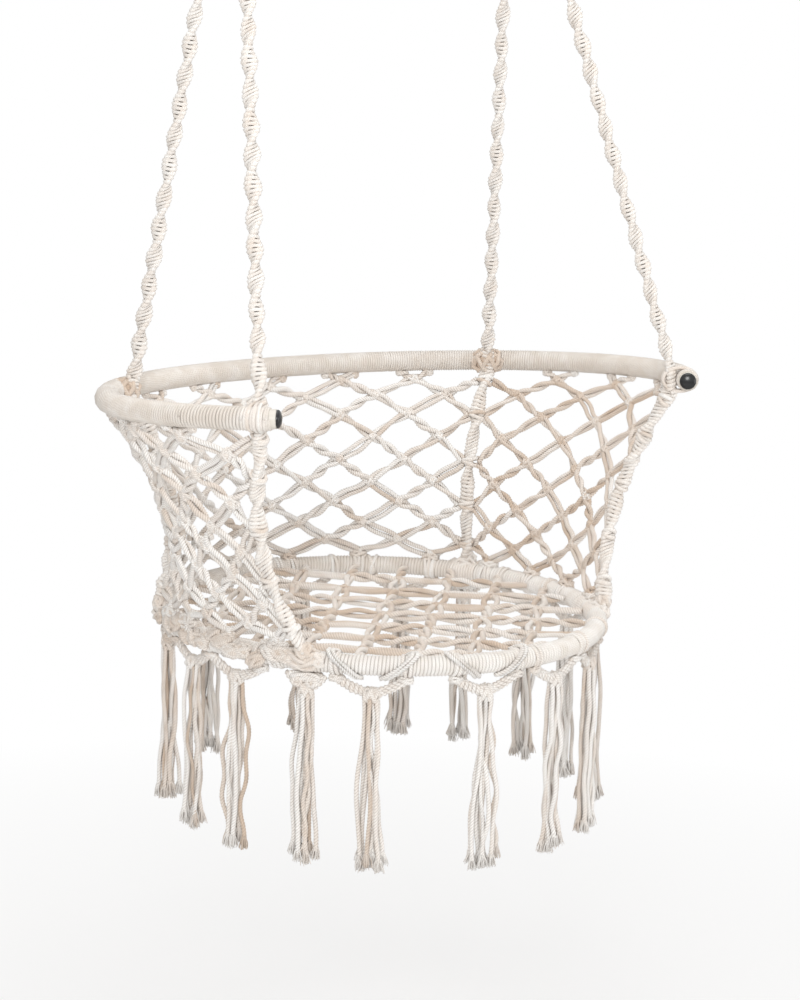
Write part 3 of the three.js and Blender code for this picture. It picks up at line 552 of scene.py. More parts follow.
# Materials.
def add(tree, kind, settings=(), links=()):
    """Adds a node, sets its inputs and properties, and links its inputs."""
    made = tree.nodes.new(kind)
    for key, value in dict(settings).items():
        if isinstance(key, str) and hasattr(made, key) and key not in made.inputs:
            setattr(made, key, value)
        else:
            made.inputs[key].default_value = value
    for key, source in dict(links).items():
        tree.links.new(source, made.inputs[key])
    return made


def new_material(name):
    material = bpy.data.materials.new(name)
    material.use_nodes = True
    tree = material.node_tree
    tree.nodes.clear()
    return material, tree


def rgba(colour):
    return (*colour[:3], 1.0)


# Real lint is far finer. It is drawn this coarse so that it shows. The blotches are the cotton's
# paler and darker patches, and creases get painted shade from whatever lies within their reach.
LINT_SIZE = 1.6 * MM
BLOTCH_SIZE = 28 * MM
CREASE_SHADE_REACH = 5 * MM


def cotton(name, colours, ply_shade_depth=0.34, fuzz=0.9, crease_shade_limit=0.32):
    """Three-ply twisted cotton: matt, faintly fuzzy, with painted shade in the hollows between the plies
    and in creases.
    """
    bright, cream, beige, painted_shade = (rgba(c) for c in colours)
    material, tree = new_material(name)
    uv = add(tree, "ShaderNodeUVMap", {"uv_map": "cord"})
    axes = add(tree, "ShaderNodeSeparateXYZ", links={"Vector": uv.outputs[0]})
    full = add(tree, "ShaderNodeMath", {"operation": "MULTIPLY", 1: PLIES * FULL_TURN},
               {0: axes.outputs["Y"]})
    wave = add(tree, "ShaderNodeMath", {"operation": "COSINE"}, {0: full.outputs[0]})
    ply = add(tree, "ShaderNodeMapRange", {"From Min": -1.0, "From Max": 1.0}, {"Value": wave.outputs[0]})
    place = add(tree, "ShaderNodeTexCoord")
    blotch = add(tree, "ShaderNodeTexNoise", {"Scale": 1 / BLOTCH_SIZE, "Detail": 2.0, "Roughness": 0.6},
                 {"Vector": place.outputs["Object"]})
    lint = add(tree, "ShaderNodeTexNoise", {"Scale": 1 / LINT_SIZE, "Detail": 3.0, "Roughness": 0.7},
               {"Vector": place.outputs["Object"]})
    tone = add(tree, "ShaderNodeAttribute", {"attribute_name": "tone"})
    mixed = add(tree, "ShaderNodeMath", {"operation": "MULTIPLY_ADD", 1: 0.5},
                {0: blotch.outputs["Fac"], 2: tone.outputs["Fac"]})
    shade = add(tree, "ShaderNodeValToRGB", links={"Fac": mixed.outputs[0]})
    ramp = shade.color_ramp
    ramp.elements[0].position, ramp.elements[0].color = 0.35, beige
    ramp.elements[1].position, ramp.elements[1].color = 0.98, bright
    ramp.elements.new(0.7).color = cream
    # Painted shade between the plies: the cord's colour is mixed towards the shade colour in the troughs
    # of the ply wave.
    grain = add(tree, "ShaderNodeMapRange", {"interpolation_type": "SMOOTHSTEP", "From Min": -1.0,
                                             "From Max": -0.1, "To Min": 1 - ply_shade_depth},
                {"Value": wave.outputs[0]})
    ply_shaded = add(tree, "ShaderNodeMix", {"data_type": "RGBA", 6: painted_shade},
               {0: grain.outputs[0], 7: shade.outputs["Color"]})
    # Painted shade in creases: ambient occlusion mixes the shade colour in wherever other cords lie close.
    shelter = add(tree, "ShaderNodeAmbientOcclusion", {"samples": 4, "Distance": CREASE_SHADE_REACH})
    open_to_light = add(tree, "ShaderNodeMapRange", {"From Min": 0.05, "From Max": 0.6, "To Min": crease_shade_limit},
                        {"Value": shelter.outputs["AO"]})
    crease_shaded = add(tree, "ShaderNodeMix", {"data_type": "RGBA", 6: painted_shade},
                  {0: open_to_light.outputs[0], 7: ply_shaded.outputs[2]})
    height = add(tree, "ShaderNodeMath", {"operation": "MULTIPLY_ADD", 1: fuzz},
                 {0: lint.outputs["Fac"], 2: ply.outputs[0]})
    bump = add(tree, "ShaderNodeBump", {"Strength": 0.55, "Distance": 0.5 * MM},
               {"Height": height.outputs[0]})
    shader = add(tree, "ShaderNodeBsdfPrincipled",
                 {"Roughness": 0.92, "Sheen Weight": 0.25, "Sheen Roughness": 0.6,
                  "Specular IOR Level": 0.25},
                 {"Base Color": crease_shaded.outputs[2], "Normal": bump.outputs[0]})
    add(tree, "ShaderNodeOutputMaterial", links={"Surface": shader.outputs[0]})
    return material


# Grain and uneven sheen of the rigid finishes.
GRIT_SIZE = 0.4 * MM
GRIT_DEPTH = 0.05 * MM
WEAR_SIZE = 9 * MM
ROUGHNESS_SPREAD = 0.06


def plain(name, colour, roughness, metallic=0.0, strength=0.2):
    """A rigid finish with fine grain and slightly uneven sheen."""
    material, tree = new_material(name)
    place = add(tree, "ShaderNodeTexCoord")
    grain = add(tree, "ShaderNodeTexNoise", {"Scale": 1 / GRIT_SIZE, "Detail": 2.0},
                {"Vector": place.outputs["Object"]})
    wear = add(tree, "ShaderNodeTexNoise", {"Scale": 1 / WEAR_SIZE, "Detail": 3.0},
               {"Vector": place.outputs["Object"]})
    gloss = add(tree, "ShaderNodeMapRange",
                {"To Min": roughness - ROUGHNESS_SPREAD, "To Max": roughness + ROUGHNESS_SPREAD},
                {"Value": wear.outputs["Fac"]})
    bump = add(tree, "ShaderNodeBump", {"Strength": strength, "Distance": GRIT_DEPTH},
               {"Height": grain.outputs["Fac"]})
    shader = add(tree, "ShaderNodeBsdfPrincipled", {"Base Color": rgba(colour), "Metallic": metallic},
                 {"Roughness": gloss.outputs[0], "Normal": bump.outputs[0]})
    add(tree, "ShaderNodeOutputMaterial", links={"Surface": shader.outputs[0]})
    return material


MATERIALS = {}


def finish(context, name):
    """Each finish is made once, from the scene's colours."""
    if name in MATERIALS:
        return MATERIALS[name]
    c = context.scene.chair_colours
    loose = (c.bright, c.cream, c.beige, c.painted_shade)
    tight = (c.bright, c.wound, c.wound, c.painted_shade)
    if name == "twisted_cotton":
        MATERIALS[name] = cotton(name, loose)
    elif name == "braided_cotton":
        MATERIALS[name] = cotton(name, loose, ply_shade_depth=0.12, crease_shade_limit=0.6)
    elif name == "wound_cotton":
        MATERIALS[name] = cotton(name, tight, ply_shade_depth=0.16, fuzz=0.5, crease_shade_limit=0.65)
    elif name == "moulded_black_plastic":
        MATERIALS[name] = plain(name, c.cap, 0.24, strength=0.1)
    elif name == "moulded_pale_plastic":
        MATERIALS[name] = plain(name, hex_colour("DAD5CC"), 0.45, strength=0.1)
    elif name == "satin_off_white_paint":
        MATERIALS[name] = plain(name, hex_colour("E4E0D6"), 0.45)
    elif name == "drawn_steel":
        MATERIALS[name] = plain(name, hex_colour("B9BCC0"), 0.3, metallic=1.0, strength=0.25)
    return MATERIALS[name]


# The stage. The camera fits the photographed view. Its angles are in radians, its distance in
# metres, its focal length in pixels of a picture with FRAME_PIXELS on its longer side, and its
# sensor in millimetres.
CAMERA_AZIMUTH = -0.6697895
CAMERA_ELEVATION = 0.1947722
CAMERA_DISTANCE = 3.657166
AIM_RIGHT = 0.00668956
AIM_UP = 0.04252889
FOCAL_PIXELS = 2610.737
FRAME_PIXELS = 1000
SENSOR = 36.0
FAR_CLIP = 60
# How far the floor lies below the seat, half its width, and how far above the seat the lamps point.
FLOOR_DROP = 0.62
FLOOR_HALF = 14.0
AIM_ABOVE_SEAT = 0.1
# Each lamp's name, place from the middle of the seat, size and watts.
LAMPS = (
    ("key", (-2.4, -2.8, 1.5), 1.2, 63.0),
    ("fill", (2.0, -3.2, -0.1), 2.0, 27.0),
    ("top", (0.0, -0.3, 2.4), 1.6, 20.0),
)


class SetUpStage(Operator):
    """Camera at the photograph's view, pale floor and soft light"""
    bl_idname = "chair.set_up_stage"
    bl_label = "Set Up Stage"

    def execute(self, context):
        scene = context.scene
        az, el = CAMERA_AZIMUTH, CAMERA_ELEVATION
        away = Vector((math.sin(az) * math.cos(el), -math.cos(az) * math.cos(el), math.sin(el)))
        look = -away
        right = look.cross(Vector((0, 0, 1))).normalized()
        over = right.cross(look)
        panned = look * math.cos(AIM_RIGHT) + right * math.sin(AIM_RIGHT)
        beside = right * math.cos(AIM_RIGHT) - look * math.sin(AIM_RIGHT)
        aimed = panned * math.cos(AIM_UP) + over * math.sin(AIM_UP)
        above = over * math.cos(AIM_UP) - panned * math.sin(AIM_UP)
        data = bpy.data.cameras.new("camera")
        data.sensor_width = SENSOR
        data.lens = FOCAL_PIXELS / FRAME_PIXELS * SENSOR
        data.clip_end = FAR_CLIP
        camera = bpy.data.objects.new("camera", data)
        axes = [Vector(leaned(axis)) for axis in (beside, above, -aimed)]
        turn = Matrix(axes).transposed().to_4x4()
        place = Vector(hung(away * CAMERA_DISTANCE))
        camera.matrix_world = Matrix.Translation(place) @ turn
        scene.collection.objects.link(camera)
        scene.camera = camera

        floor_mesh = bpy.data.meshes.new("floor")
        half, level = FLOOR_HALF, -HOOK_HEIGHT - FLOOR_DROP
        floor_mesh.from_pydata([(-half, -half, level), (half, -half, level), (half, half, level),
                                (-half, half, level)], [], [(0, 1, 2, 3)])
        floor = bpy.data.objects.new("floor", floor_mesh)
        scene.collection.objects.link(floor)
        material, tree = new_material("pale_floor")
        shader = add(tree, "ShaderNodeBsdfPrincipled",
                     {"Base Color": (0.93, 0.93, 0.93, 1), "Roughness": 0.9, "Specular IOR Level": 0.1})
        glow = add(tree, "ShaderNodeEmission", {"Color": (1, 1, 1, 1), "Strength": 1.0})
        rays = add(tree, "ShaderNodeLightPath")
        spot = add(tree, "ShaderNodeTexCoord")
        flat = add(tree, "ShaderNodeVectorMath", {"operation": "MULTIPLY", 1: (1, 1, 0)},
                   {0: spot.outputs["Object"]})
        away = add(tree, "ShaderNodeVectorMath", {"operation": "LENGTH"}, {0: flat.outputs[0]})
        fade = add(tree, "ShaderNodeMapRange",
                   {"From Min": 0.3, "From Max": 1.6, "To Min": 0.6, "To Max": 1.0},
                   {"Value": away.outputs["Value"]})
        seen = add(tree, "ShaderNodeMath", {"operation": "MULTIPLY"},
                   {0: rays.outputs["Is Camera Ray"], 1: fade.outputs[0]})
        mix = add(tree, "ShaderNodeMixShader",
                  links={0: seen.outputs[0], 1: shader.outputs[0], 2: glow.outputs[0]})
        add(tree, "ShaderNodeOutputMaterial", links={"Surface": mix.outputs[0]})
        floor_mesh.materials.append(material)

        world = bpy.data.worlds.new("studio")
        world.use_nodes = True
        scene.world = world
        tree = world.node_tree
        tree.nodes.clear()
        rays = add(tree, "ShaderNodeLightPath")
        gloss = add(tree, "ShaderNodeMath", {"operation": "MAXIMUM"},
                    {0: rays.outputs["Is Camera Ray"], 1: rays.outputs["Is Glossy Ray"]})
        seen = add(tree, "ShaderNodeMath", {"operation": "MAXIMUM"},
                   {0: gloss.outputs[0], 1: rays.outputs["Is Transmission Ray"]})
        dim = add(tree, "ShaderNodeBackground", {"Color": (1.0, 0.98, 0.955, 1), "Strength": 0.53})
        white = add(tree, "ShaderNodeBackground", {"Color": (1, 1, 1, 1), "Strength": 1.0})
        mix = add(tree, "ShaderNodeMixShader",
                  links={0: seen.outputs[0], 1: dim.outputs[0], 2: white.outputs[0]})
        add(tree, "ShaderNodeOutputWorld", links={"Surface": mix.outputs[0]})

        target = Vector((0, 0, -HOOK_HEIGHT + AIM_ABOVE_SEAT))
        for name, spot, size, power in LAMPS:
            light = bpy.data.lights.new(name, "AREA")
            light.size, light.energy = size, power
            lamp = bpy.data.objects.new(name, light)
            place = Vector(spot) + Vector((0, 0, -HOOK_HEIGHT))
            turn = (target - place).to_track_quat("-Z", "Y").to_matrix().to_4x4()
            lamp.matrix_world = Matrix.Translation(place) @ turn
            scene.collection.objects.link(lamp)
        scene.view_settings.view_transform = "Standard"
        return {"FINISHED"}


# The hanging ropes: their braid, and the cords of the loops and bindings above them. The binding's
# pitch is a share of its cord.
ROPE_HALF_WIDTH, ROPE_HALF_DEPTH = 11 * MM, 5.6 * MM
ROPE_SLANT = 2 * MM
ROPE_TURN_STEP = 0.9
BRAID_PITCH = 5.8 * MM
BRAID_TONE = 0.58
LOOP_CORDS = 4
LOOP_CORD_RADIUS = 3.2 * MM
LOOP_CORD_OFFSET = 3.1 * MM
LOOP_CORD_LAY = 14 * MM
LOOP_STRAIGHT_END = 3 * MM
BEND_POINTS, LEG_POINTS = 15, 14
BINDING_TURNS = 7
BINDING_TOP = 18 * MM
BINDING_PLAY = 0.6 * MM
BINDING_PITCH = 1.04


def rope_ends(corner):
    rope, _, _, _, side = CORNERS[corner]
    front = -1 if corner.startswith("front") else 1
    foot = near(back_station, rope, -ROPE_REACH, ROPE_KNOT_HEIGHT + FIT)
    head = np.array((side * HANG_HALF_SPAN, front * LOOP_OFFSET, RING_HEIGHT - LOOP_LEG - FIT))
    return foot, head


class AddRopes(Operator):
    """Four spiral braids from the back ring up to the loops, with the loops and their bindings"""
    bl_idname = "chair.add_ropes"
    bl_label = "Add Ropes"

    def execute(self, context):
        sizes = context.scene.chair_sizes
        material = finish(context, "braided_cotton")
        for name, side in (("left", -1), ("right", 1)):
            self.loop(name, side, material)
            self.binding(name, side, sizes, material)
        for index, corner in enumerate(CORNERS):
            rng = np.random.default_rng(SEEDS["ropes"] + index)
            foot, head = rope_ends(corner)
            bundle = Bundle()
            path = foot + (head - foot) * np.linspace(0, 1, 40)[:, None]
            spiral_braid(bundle, path, (1, 0, 0), ROPE_HALF_WIDTH, ROPE_HALF_DEPTH, sizes.braid_cord,
                         sizes.braid_bead, index * ROPE_TURN_STEP, rng, pitch=BRAID_PITCH,
                         tone=BRAID_TONE, slant=ROPE_SLANT)
            made = piece(bundle, f"braided_rope_{corner}", "chair", [f"rope_{corner}"],
                         material)
        return {"FINISHED"}

    def loop(self, name, side, material):
        """Four core cords go up, over the hanging ring's wire and down again."""
        bundle = Bundle()
        middle = np.array((side * HANG_HALF_SPAN, 0, RING_HEIGHT))
        bend = np.linspace(0, math.pi, BEND_POINTS)
        leg = np.linspace(-LOOP_LEG, -LOOP_STRAIGHT_END, LEG_POINTS)
        for k in range(LOOP_CORDS):
            a = math.pi / 4 + k * math.pi / 2
            over, beside = LOOP_CORD_OFFSET * math.cos(a), LOOP_CORD_OFFSET * math.sin(a)
            reach = LOOP_OFFSET + over
            arc = np.stack([np.full(BEND_POINTS, beside), -reach * np.cos(bend), reach * np.sin(bend)],
                           -1)
            down = np.stack([np.full(LEG_POINTS, beside), np.full(LEG_POINTS, -reach), leg], -1)
            up = np.stack([np.full(LEG_POINTS, beside), np.full(LEG_POINTS, reach), leg[::-1]], -1)
            bundle.cord(middle + np.concatenate([down, arc, up]), (1, 0, 0), LOOP_CORD_RADIUS,
                        sides=9, lobe=0.12, lay=LOOP_CORD_LAY, tone=0.45 + 0.1 * k)
        return piece(bundle, f"cord_loop_{name}", "chair", [f"rope_loop_{name}"], material)

    def binding(self, name, side, sizes, material):
        """Cord wound tight round both legs of the loop."""
        cord = sizes.braid_cord
        radius = LOOP_RADIUS + BINDING_PLAY + cord / 2
        once = []
        for hand in (-1, 1):
            for k in range(9):
                a = math.pi * k / 8
                once.append((-hand * radius * math.cos(a), hand * (LOOP_OFFSET + radius * math.sin(a))))
        stops = []
        for i in range(BINDING_TURNS * len(once)):
            x, y = once[i % len(once)]
            stops.append((x, y, -BINDING_TOP - cord * BINDING_PITCH * i / len(once)))
        middle = np.array((side * HANG_HALF_SPAN, 0, RING_HEIGHT))
        path = middle + np.array(stops)
        bundle = Bundle()
        bundle.cord(path, path - middle + (0, 0, 0.5), cord / 2, sides=8, tone=0.55)
        return piece(bundle, f"cord_binding_{name}", "chair", [f"gathering_wrap_{name}"],
                     material)


# The ribs: their braid, and the two turns of net cord that gather it wherever the net joins it.
RIB_HALF_WIDTH, RIB_HALF_DEPTH = 10.8 * MM, 6.6 * MM
RIB_SLANT = 3 * MM
RIB_TURN_STEP = 0.7
RIB_LOOSENESS = 0.6
GATHER_HALF_WIDTH, GATHER_HALF_DEPTH = 10.4 * MM, 7.8 * MM
GATHER_APART = 3 * MM
GATHER_LEAN = 0.25
GATHER_SLOPE_STEP = 0.02


class AddRibs(Operator):
    """Four spiral braids between the rings, gathered where the net joins them"""
    bl_idname = "chair.add_ribs"
    bl_label = "Add Ribs"

    def execute(self, context):
        sizes = context.scene.chair_sizes
        material = finish(context, "braided_cotton")
        for index, corner in enumerate(CORNERS):
            rng = np.random.default_rng(SEEDS["ribs"] + index)
            path = np.array([rib_point(corner, s) for s in np.linspace(0, 1, 60)])
            length = np.linalg.norm(np.diff(path, axis=0), axis=1).sum()
            joints = ROW_SHARES[::2]
            bundle = Bundle()
            spiral_braid(bundle, path, (1, 0, 0), RIB_HALF_WIDTH, RIB_HALF_DEPTH, sizes.braid_cord,
                         sizes.rib_bead, index * RIB_TURN_STEP, rng, pitch=BRAID_PITCH, tone=BRAID_TONE,
                         swells=[s * length for s in joints], loose=RIB_LOOSENESS, slant=RIB_SLANT)
            for share in joints:
                centre = rib_point(corner, share)
                down = unit(rib_point(corner, share + GATHER_SLOPE_STEP)
                            - rib_point(corner, share - GATHER_SLOPE_STEP))
                across = unit(np.cross(down, (centre[0], centre[1], 0)))
                deep = np.cross(across, down)
                for k in (-1, 1):
                    loop_round(bundle, centre + down * k * GATHER_APART,
                               unit(across + down * GATHER_LEAN * k), deep,
                               GATHER_HALF_WIDTH, GATHER_HALF_DEPTH, sizes.net_cord,
                               0.5 + 0.15 * rng.standard_normal())
            piece(bundle, f"braided_rib_{corner}", "chair", [f"rib_{corner}"], material)
        return {"FINISHED"}


# How each panel of the wall looks: its tone, how thick its cord is beside the net cord, how large
# its knots are, and how far they lie out of place. Where its cords and knots meet the ribs, the
# back ring at its head and the seat ring at its foot follows.
PANEL_LOOKS = {
    # The right side's low tone is painted shade, darkening the panel that lies in shade.
    "side_net_right": (0.3, 1.1, 1.15, 1.5 * MM),
    "back_net": (0.58, 1.2, 1.15, 1.5 * MM),
    "side_net_left": (0.6, 1.2, 1.6, 3.5 * MM),
}
SLOPE_STEP = 0.01
RIB_KNOT_INSET = 9 * MM
HEAD_SPREAD = 0.2
HEAD_KNOT_DROP = 2 * MM
FOOT_KNOT = (8, 6.5, 12)
FOOT_KNOT_CORD = 0.85

# Turns of net cord that hitch the net to the wound seat ring: their cord and pitch beside the net
# cord, how far they lean, how far their middle lies under the wound cord's surface, and where they
# lie at the end of a tassel's arm, in pitches.
HITCH_CORD = 0.9
HITCH_PITCH = 0.95
HITCH_LEAN = 0.12
HITCH_BITE = 0.4 * MM
ARM_END_HITCHES = (-0.2, 0.8)

# The seat net: how thick its cords are beside the net cord, in its middle and at its edge, how far
# two cords part there, the bare margin along the ring, and how far its knots lie out of place.
SEAT_CORD, EDGE_CORD = 1.25, 1.2
SEAT_GAP, EDGE_GAP = 6.5 * MM, 4 * MM
SEAT_MARGIN = 12 * MM
SEAT_KNOT_STRAY = 1.2 * MM

# Straps over the ring: their place beside a tassel's middle, where they start and end round the
# wound cord, in half turns, how far they run aslant, and their place and size beside the cord.
STRAP_PLACE = 15 * MM
STRAP_FROM, STRAP_TO = 0.8, -0.45
STRAP_SLANT, STRAP_SLANT_SPREAD = 36 * MM, 6 * MM
STRAP_HALF_APART, STRAP_RISE, STRAP_RADIUS = 0.5, 0.42, 0.54

# The crowded knots at the left: angles between them and to both ribs, their half sizes in
# millimetres, and how much they vary in place, height, size and lean.
CLUSTER_STEP = 0.062
CLUSTER_FROM, CLUSTER_TO = 0.09, 0.05
CLUSTER_KNOT = (6.5, 9.5, 13)
CLUSTER_STRAY = 0.01
CLUSTER_LIFT = (-0.5, 1.3)
CLUSTER_SIZE_SPREAD = 0.15
CLUSTER_LEAN = 0.5


class AddNets(Operator):
    """Three knotted panels between the ribs, and the seat net"""
    bl_idname = "chair.add_nets"
    bl_label = "Add Nets"

    def execute(self, context):
        sizes = context.scene.chair_sizes
        material = finish(context, "twisted_cotton")
        for index, panel in enumerate(PANELS):
            self.wall(panel, sizes, material, np.random.default_rng(SEEDS["wall"] + index))
        self.seat(sizes, material, np.random.default_rng(SEEDS["seat"]))
        return {"FINISHED"}

    def wall(self, panel, sizes, material, rng):
        start, end, columns = PANELS[panel]
        cord, lay = sizes.net_cord, sizes.cord_lay
        tone, fullness, knot_size, stray = PANEL_LOOKS[panel]
        bundle = Bundle()
        rows = []
        for row, share in enumerate(ROW_SHARES):
            even = row % 2 == 0
            knots = []
            for i in range(columns + 1 if even else columns):
                across = (i if even else i + 0.5) / columns
                here = wall_point(panel, across, share)
                right = unit(wall_point(panel, across + SLOPE_STEP, share)
                             - wall_point(panel, across - SLOPE_STEP, share))
                down = (wall_point(panel, across, min(share + SLOPE_STEP, 1))
                        - wall_point(panel, across, min(share, 1 - SLOPE_STEP)))
                down = unit(down - right * (down @ right))
                rib = None
                if even and i in (0, columns):
                    rib = start if i == 0 else end
                    inset = RIB_KNOT_INSET if i == 0 else -RIB_KNOT_INSET
                    here = rib_point(rib, share) + right * inset
                else:
                    here = here + right * rng.normal(0, stray) + down * rng.normal(0, stray)
                knots.append((here, right, down, rib))
                if rib is None:
                    net_knot(bundle, here, right, down, cord, rng, size=knot_size, tone=tone)
            rows.append(knots)
        for r in range(len(rows) - 1):
            shift = 0 if r % 2 == 0 else 1
            for i, (here, right, down, _) in enumerate(rows[r]):
                for j in (i + shift - 1, i + shift):
                    if 0 <= j < len(rows[r + 1]):
                        normal = unit(np.cross(right, down))
                        strand_pair(bundle, here, rows[r + 1][j][0], normal, cord * fullness, lay, rng,
                                    tone=tone)
        for i, (here, right, down, rib) in enumerate(rows[0]):
            if rib is not None:
                continue
            line = i / columns
            for side in (-1, 1):
                head = wall_point(panel, line + side * HEAD_SPREAD / columns, 0)
                normal = unit(np.cross(right, down))
                strand_pair(bundle, here, head, normal, cord, lay, rng, gap=0.8 * MM)
                net_knot(bundle, head - UP * HEAD_KNOT_DROP, right, down, cord, rng, size=0.85)
        for i in range(len(rows[-1])):
            across = (i + 0.5) / columns
            angle = CORNERS[start][1] + (CORNERS[end][1] - CORNERS[start][1]) * across
            centre, outward, travel, over = seat_station(angle)
            woven_lump(bundle, centre + over * 15 * MM + outward * 3 * MM, (outward, over, travel),
                       mm(*FOOT_KNOT), cord * FOOT_KNOT_CORD, rng, leads=5, bights=6)
            for k in (-1, 0, 1):
                self.hitch_turn(bundle, angle + k * cord * HITCH_PITCH / SEAT_RADIUS, cord * HITCH_CORD,
                                rng)
        piece(bundle, f"knotted_{panel}", "chair", [panel], material)

    def hitch_turn(self, bundle, angle, cord, rng):
        """One turn of net cord round the wound seat ring."""
        centre, outward, travel, over = seat_station(angle)
        lean = travel * rng.normal(0, HITCH_LEAN)
        radius = SEAT_WRAP_RADIUS - HITCH_BITE
        loop_round(bundle, centre, unit(outward + lean), unit(over + lean), radius, radius, cord,
                   0.62 + 0.08 * rng.standard_normal(), steps=18)

    def seat(self, sizes, material, rng):
        cord, lay = sizes.net_cord, sizes.cord_lay
        bundle = Bundle()
        edge = SEAT_RADIUS - SEAT_WRAP_RADIUS
        reach = int(math.ceil(SEAT_RADIUS / SEAT_KNOT_STEP))
        place = lambda x, y: np.array((x, y, -SEAT_NET_SAG * (1 - (x * x + y * y) / edge ** 2)))
        knots = {}
        for i in range(-reach, reach + 1):
            for j in range(-reach, reach + 1):
                x, y = i * SEAT_KNOT_STEP, j * SEAT_KNOT_STEP
                if (i + j) % 2 == 0 and math.hypot(x, y) < edge - SEAT_MARGIN:
                    stray = rng.normal(0, SEAT_KNOT_STRAY, 2)
                    knots[i, j] = tilted(place(x + stray[0], y + stray[1]))
        right, down = tilted((1, 0, 0)), tilted((0, -1, 0))
        normal = tilted(UP)
        for (i, j), here in knots.items():
            net_knot(bundle, here, right, down, cord, rng, size=1.2, tone=0.38)
            for di, dj in ((1, -1), (-1, -1), (-1, 1), (1, 1)):
                other = knots.get((i + di, j + dj))
                if other is not None:
                    if dj < 0:
                        strand_pair(bundle, here, other, normal, cord * SEAT_CORD, lay, rng,
                                    gap=SEAT_GAP, tone=0.33)
                    continue
                run = np.array((di, dj)) / math.sqrt(2)
                x, y = i * SEAT_KNOT_STEP, j * SEAT_KNOT_STEP
                b = x * run[0] + y * run[1]
                distance = -b + math.sqrt(b * b - x * x - y * y + edge ** 2)
                stop = np.array((x + run[0] * distance, y + run[1] * distance, 0))
                strand_pair(bundle, here, tilted(stop), normal, cord * EDGE_CORD, lay, rng,
                            gap=EDGE_GAP, trim=1 * MM, tone=0.36)
        for angle, reach in tassel_places():
            for side in (-1, 1):
                if reach == TASSEL_ARM_REACH:
                    for k in ARM_END_HITCHES:
                        root = reach + k * cord * HITCH_PITCH
                        self.hitch_turn(bundle, angle + side * root / SEAT_RADIUS, cord * HITCH_CORD, rng)
                if angle in FRONT_TASSEL_ANGLES[:2]:
                    self.strap(bundle, angle + side * STRAP_PLACE / SEAT_RADIUS, side, cord, lay, rng)
        self.left_cluster(bundle, cord, rng)
        piece(bundle, "knotted_seat_net", "chair", ["seat_net"], material)

    def strap(self, bundle, angle, side, cord, lay, rng):
        """Two cords run aslant over the wound ring, down towards a tassel's knot."""
        phase = np.linspace(math.pi * STRAP_FROM, math.pi * STRAP_TO, 26)
        aslant = side * (STRAP_SLANT + STRAP_SLANT_SPREAD * rng.random()) / SEAT_RADIUS
        slant = aslant * (1 + np.sin(phase)) / 2
        for hand in (-1, 1):
            apart = hand * cord * STRAP_HALF_APART / SEAT_RADIUS
            centre, outward, _, over = seat_station(angle + slant + apart)
            out = outward * np.cos(phase)[:, None] + over * np.sin(phase)[:, None]
            path = centre + out * (SEAT_WRAP_RADIUS + cord * STRAP_RISE)
            bundle.cord(path, out, cord * STRAP_RADIUS, lobe=0.15, lay=lay,
                        tone=0.7 + 0.08 * rng.standard_normal())

    def left_cluster(self, bundle, cord, rng):
        """The crowded knots that cover the ring on its left side."""
        first, last = FULL_TURN - REAR_RIB_ANGLE, FULL_TURN - FRONT_RIB_ANGLE
        for angle in np.arange(first + CLUSTER_FROM, last - CLUSTER_TO, CLUSTER_STEP):
            centre, outward, travel, over = seat_station(angle + rng.normal(0, CLUSTER_STRAY))
            lift = rng.uniform(*CLUSTER_LIFT)
            out = outward * math.cos(lift) + over * math.sin(lift)
            half = mm(*CLUSTER_KNOT) * (1 + CLUSTER_SIZE_SPREAD * rng.standard_normal(3))
            along = unit(travel + over * rng.normal(0, CLUSTER_LEAN))
            aside = unit(np.cross(along, out))
            woven_lump(bundle, centre + out * SEAT_WRAP_RADIUS, (np.cross(aside, along), aside, along),
                       half, cord, rng, tone=0.45)


# Wound cord: thickness and pitch beside the size that the user sets, on the seat ring, thickness at
# the back ring's coarse ends, and the back ring's pitch beside its own cord.
SEAT_WOUND, SEAT_WOUND_PITCH = 1.3, 1.27
COARSE_WOUND = 1.15
BACK_WOUND_PITCH = 0.98


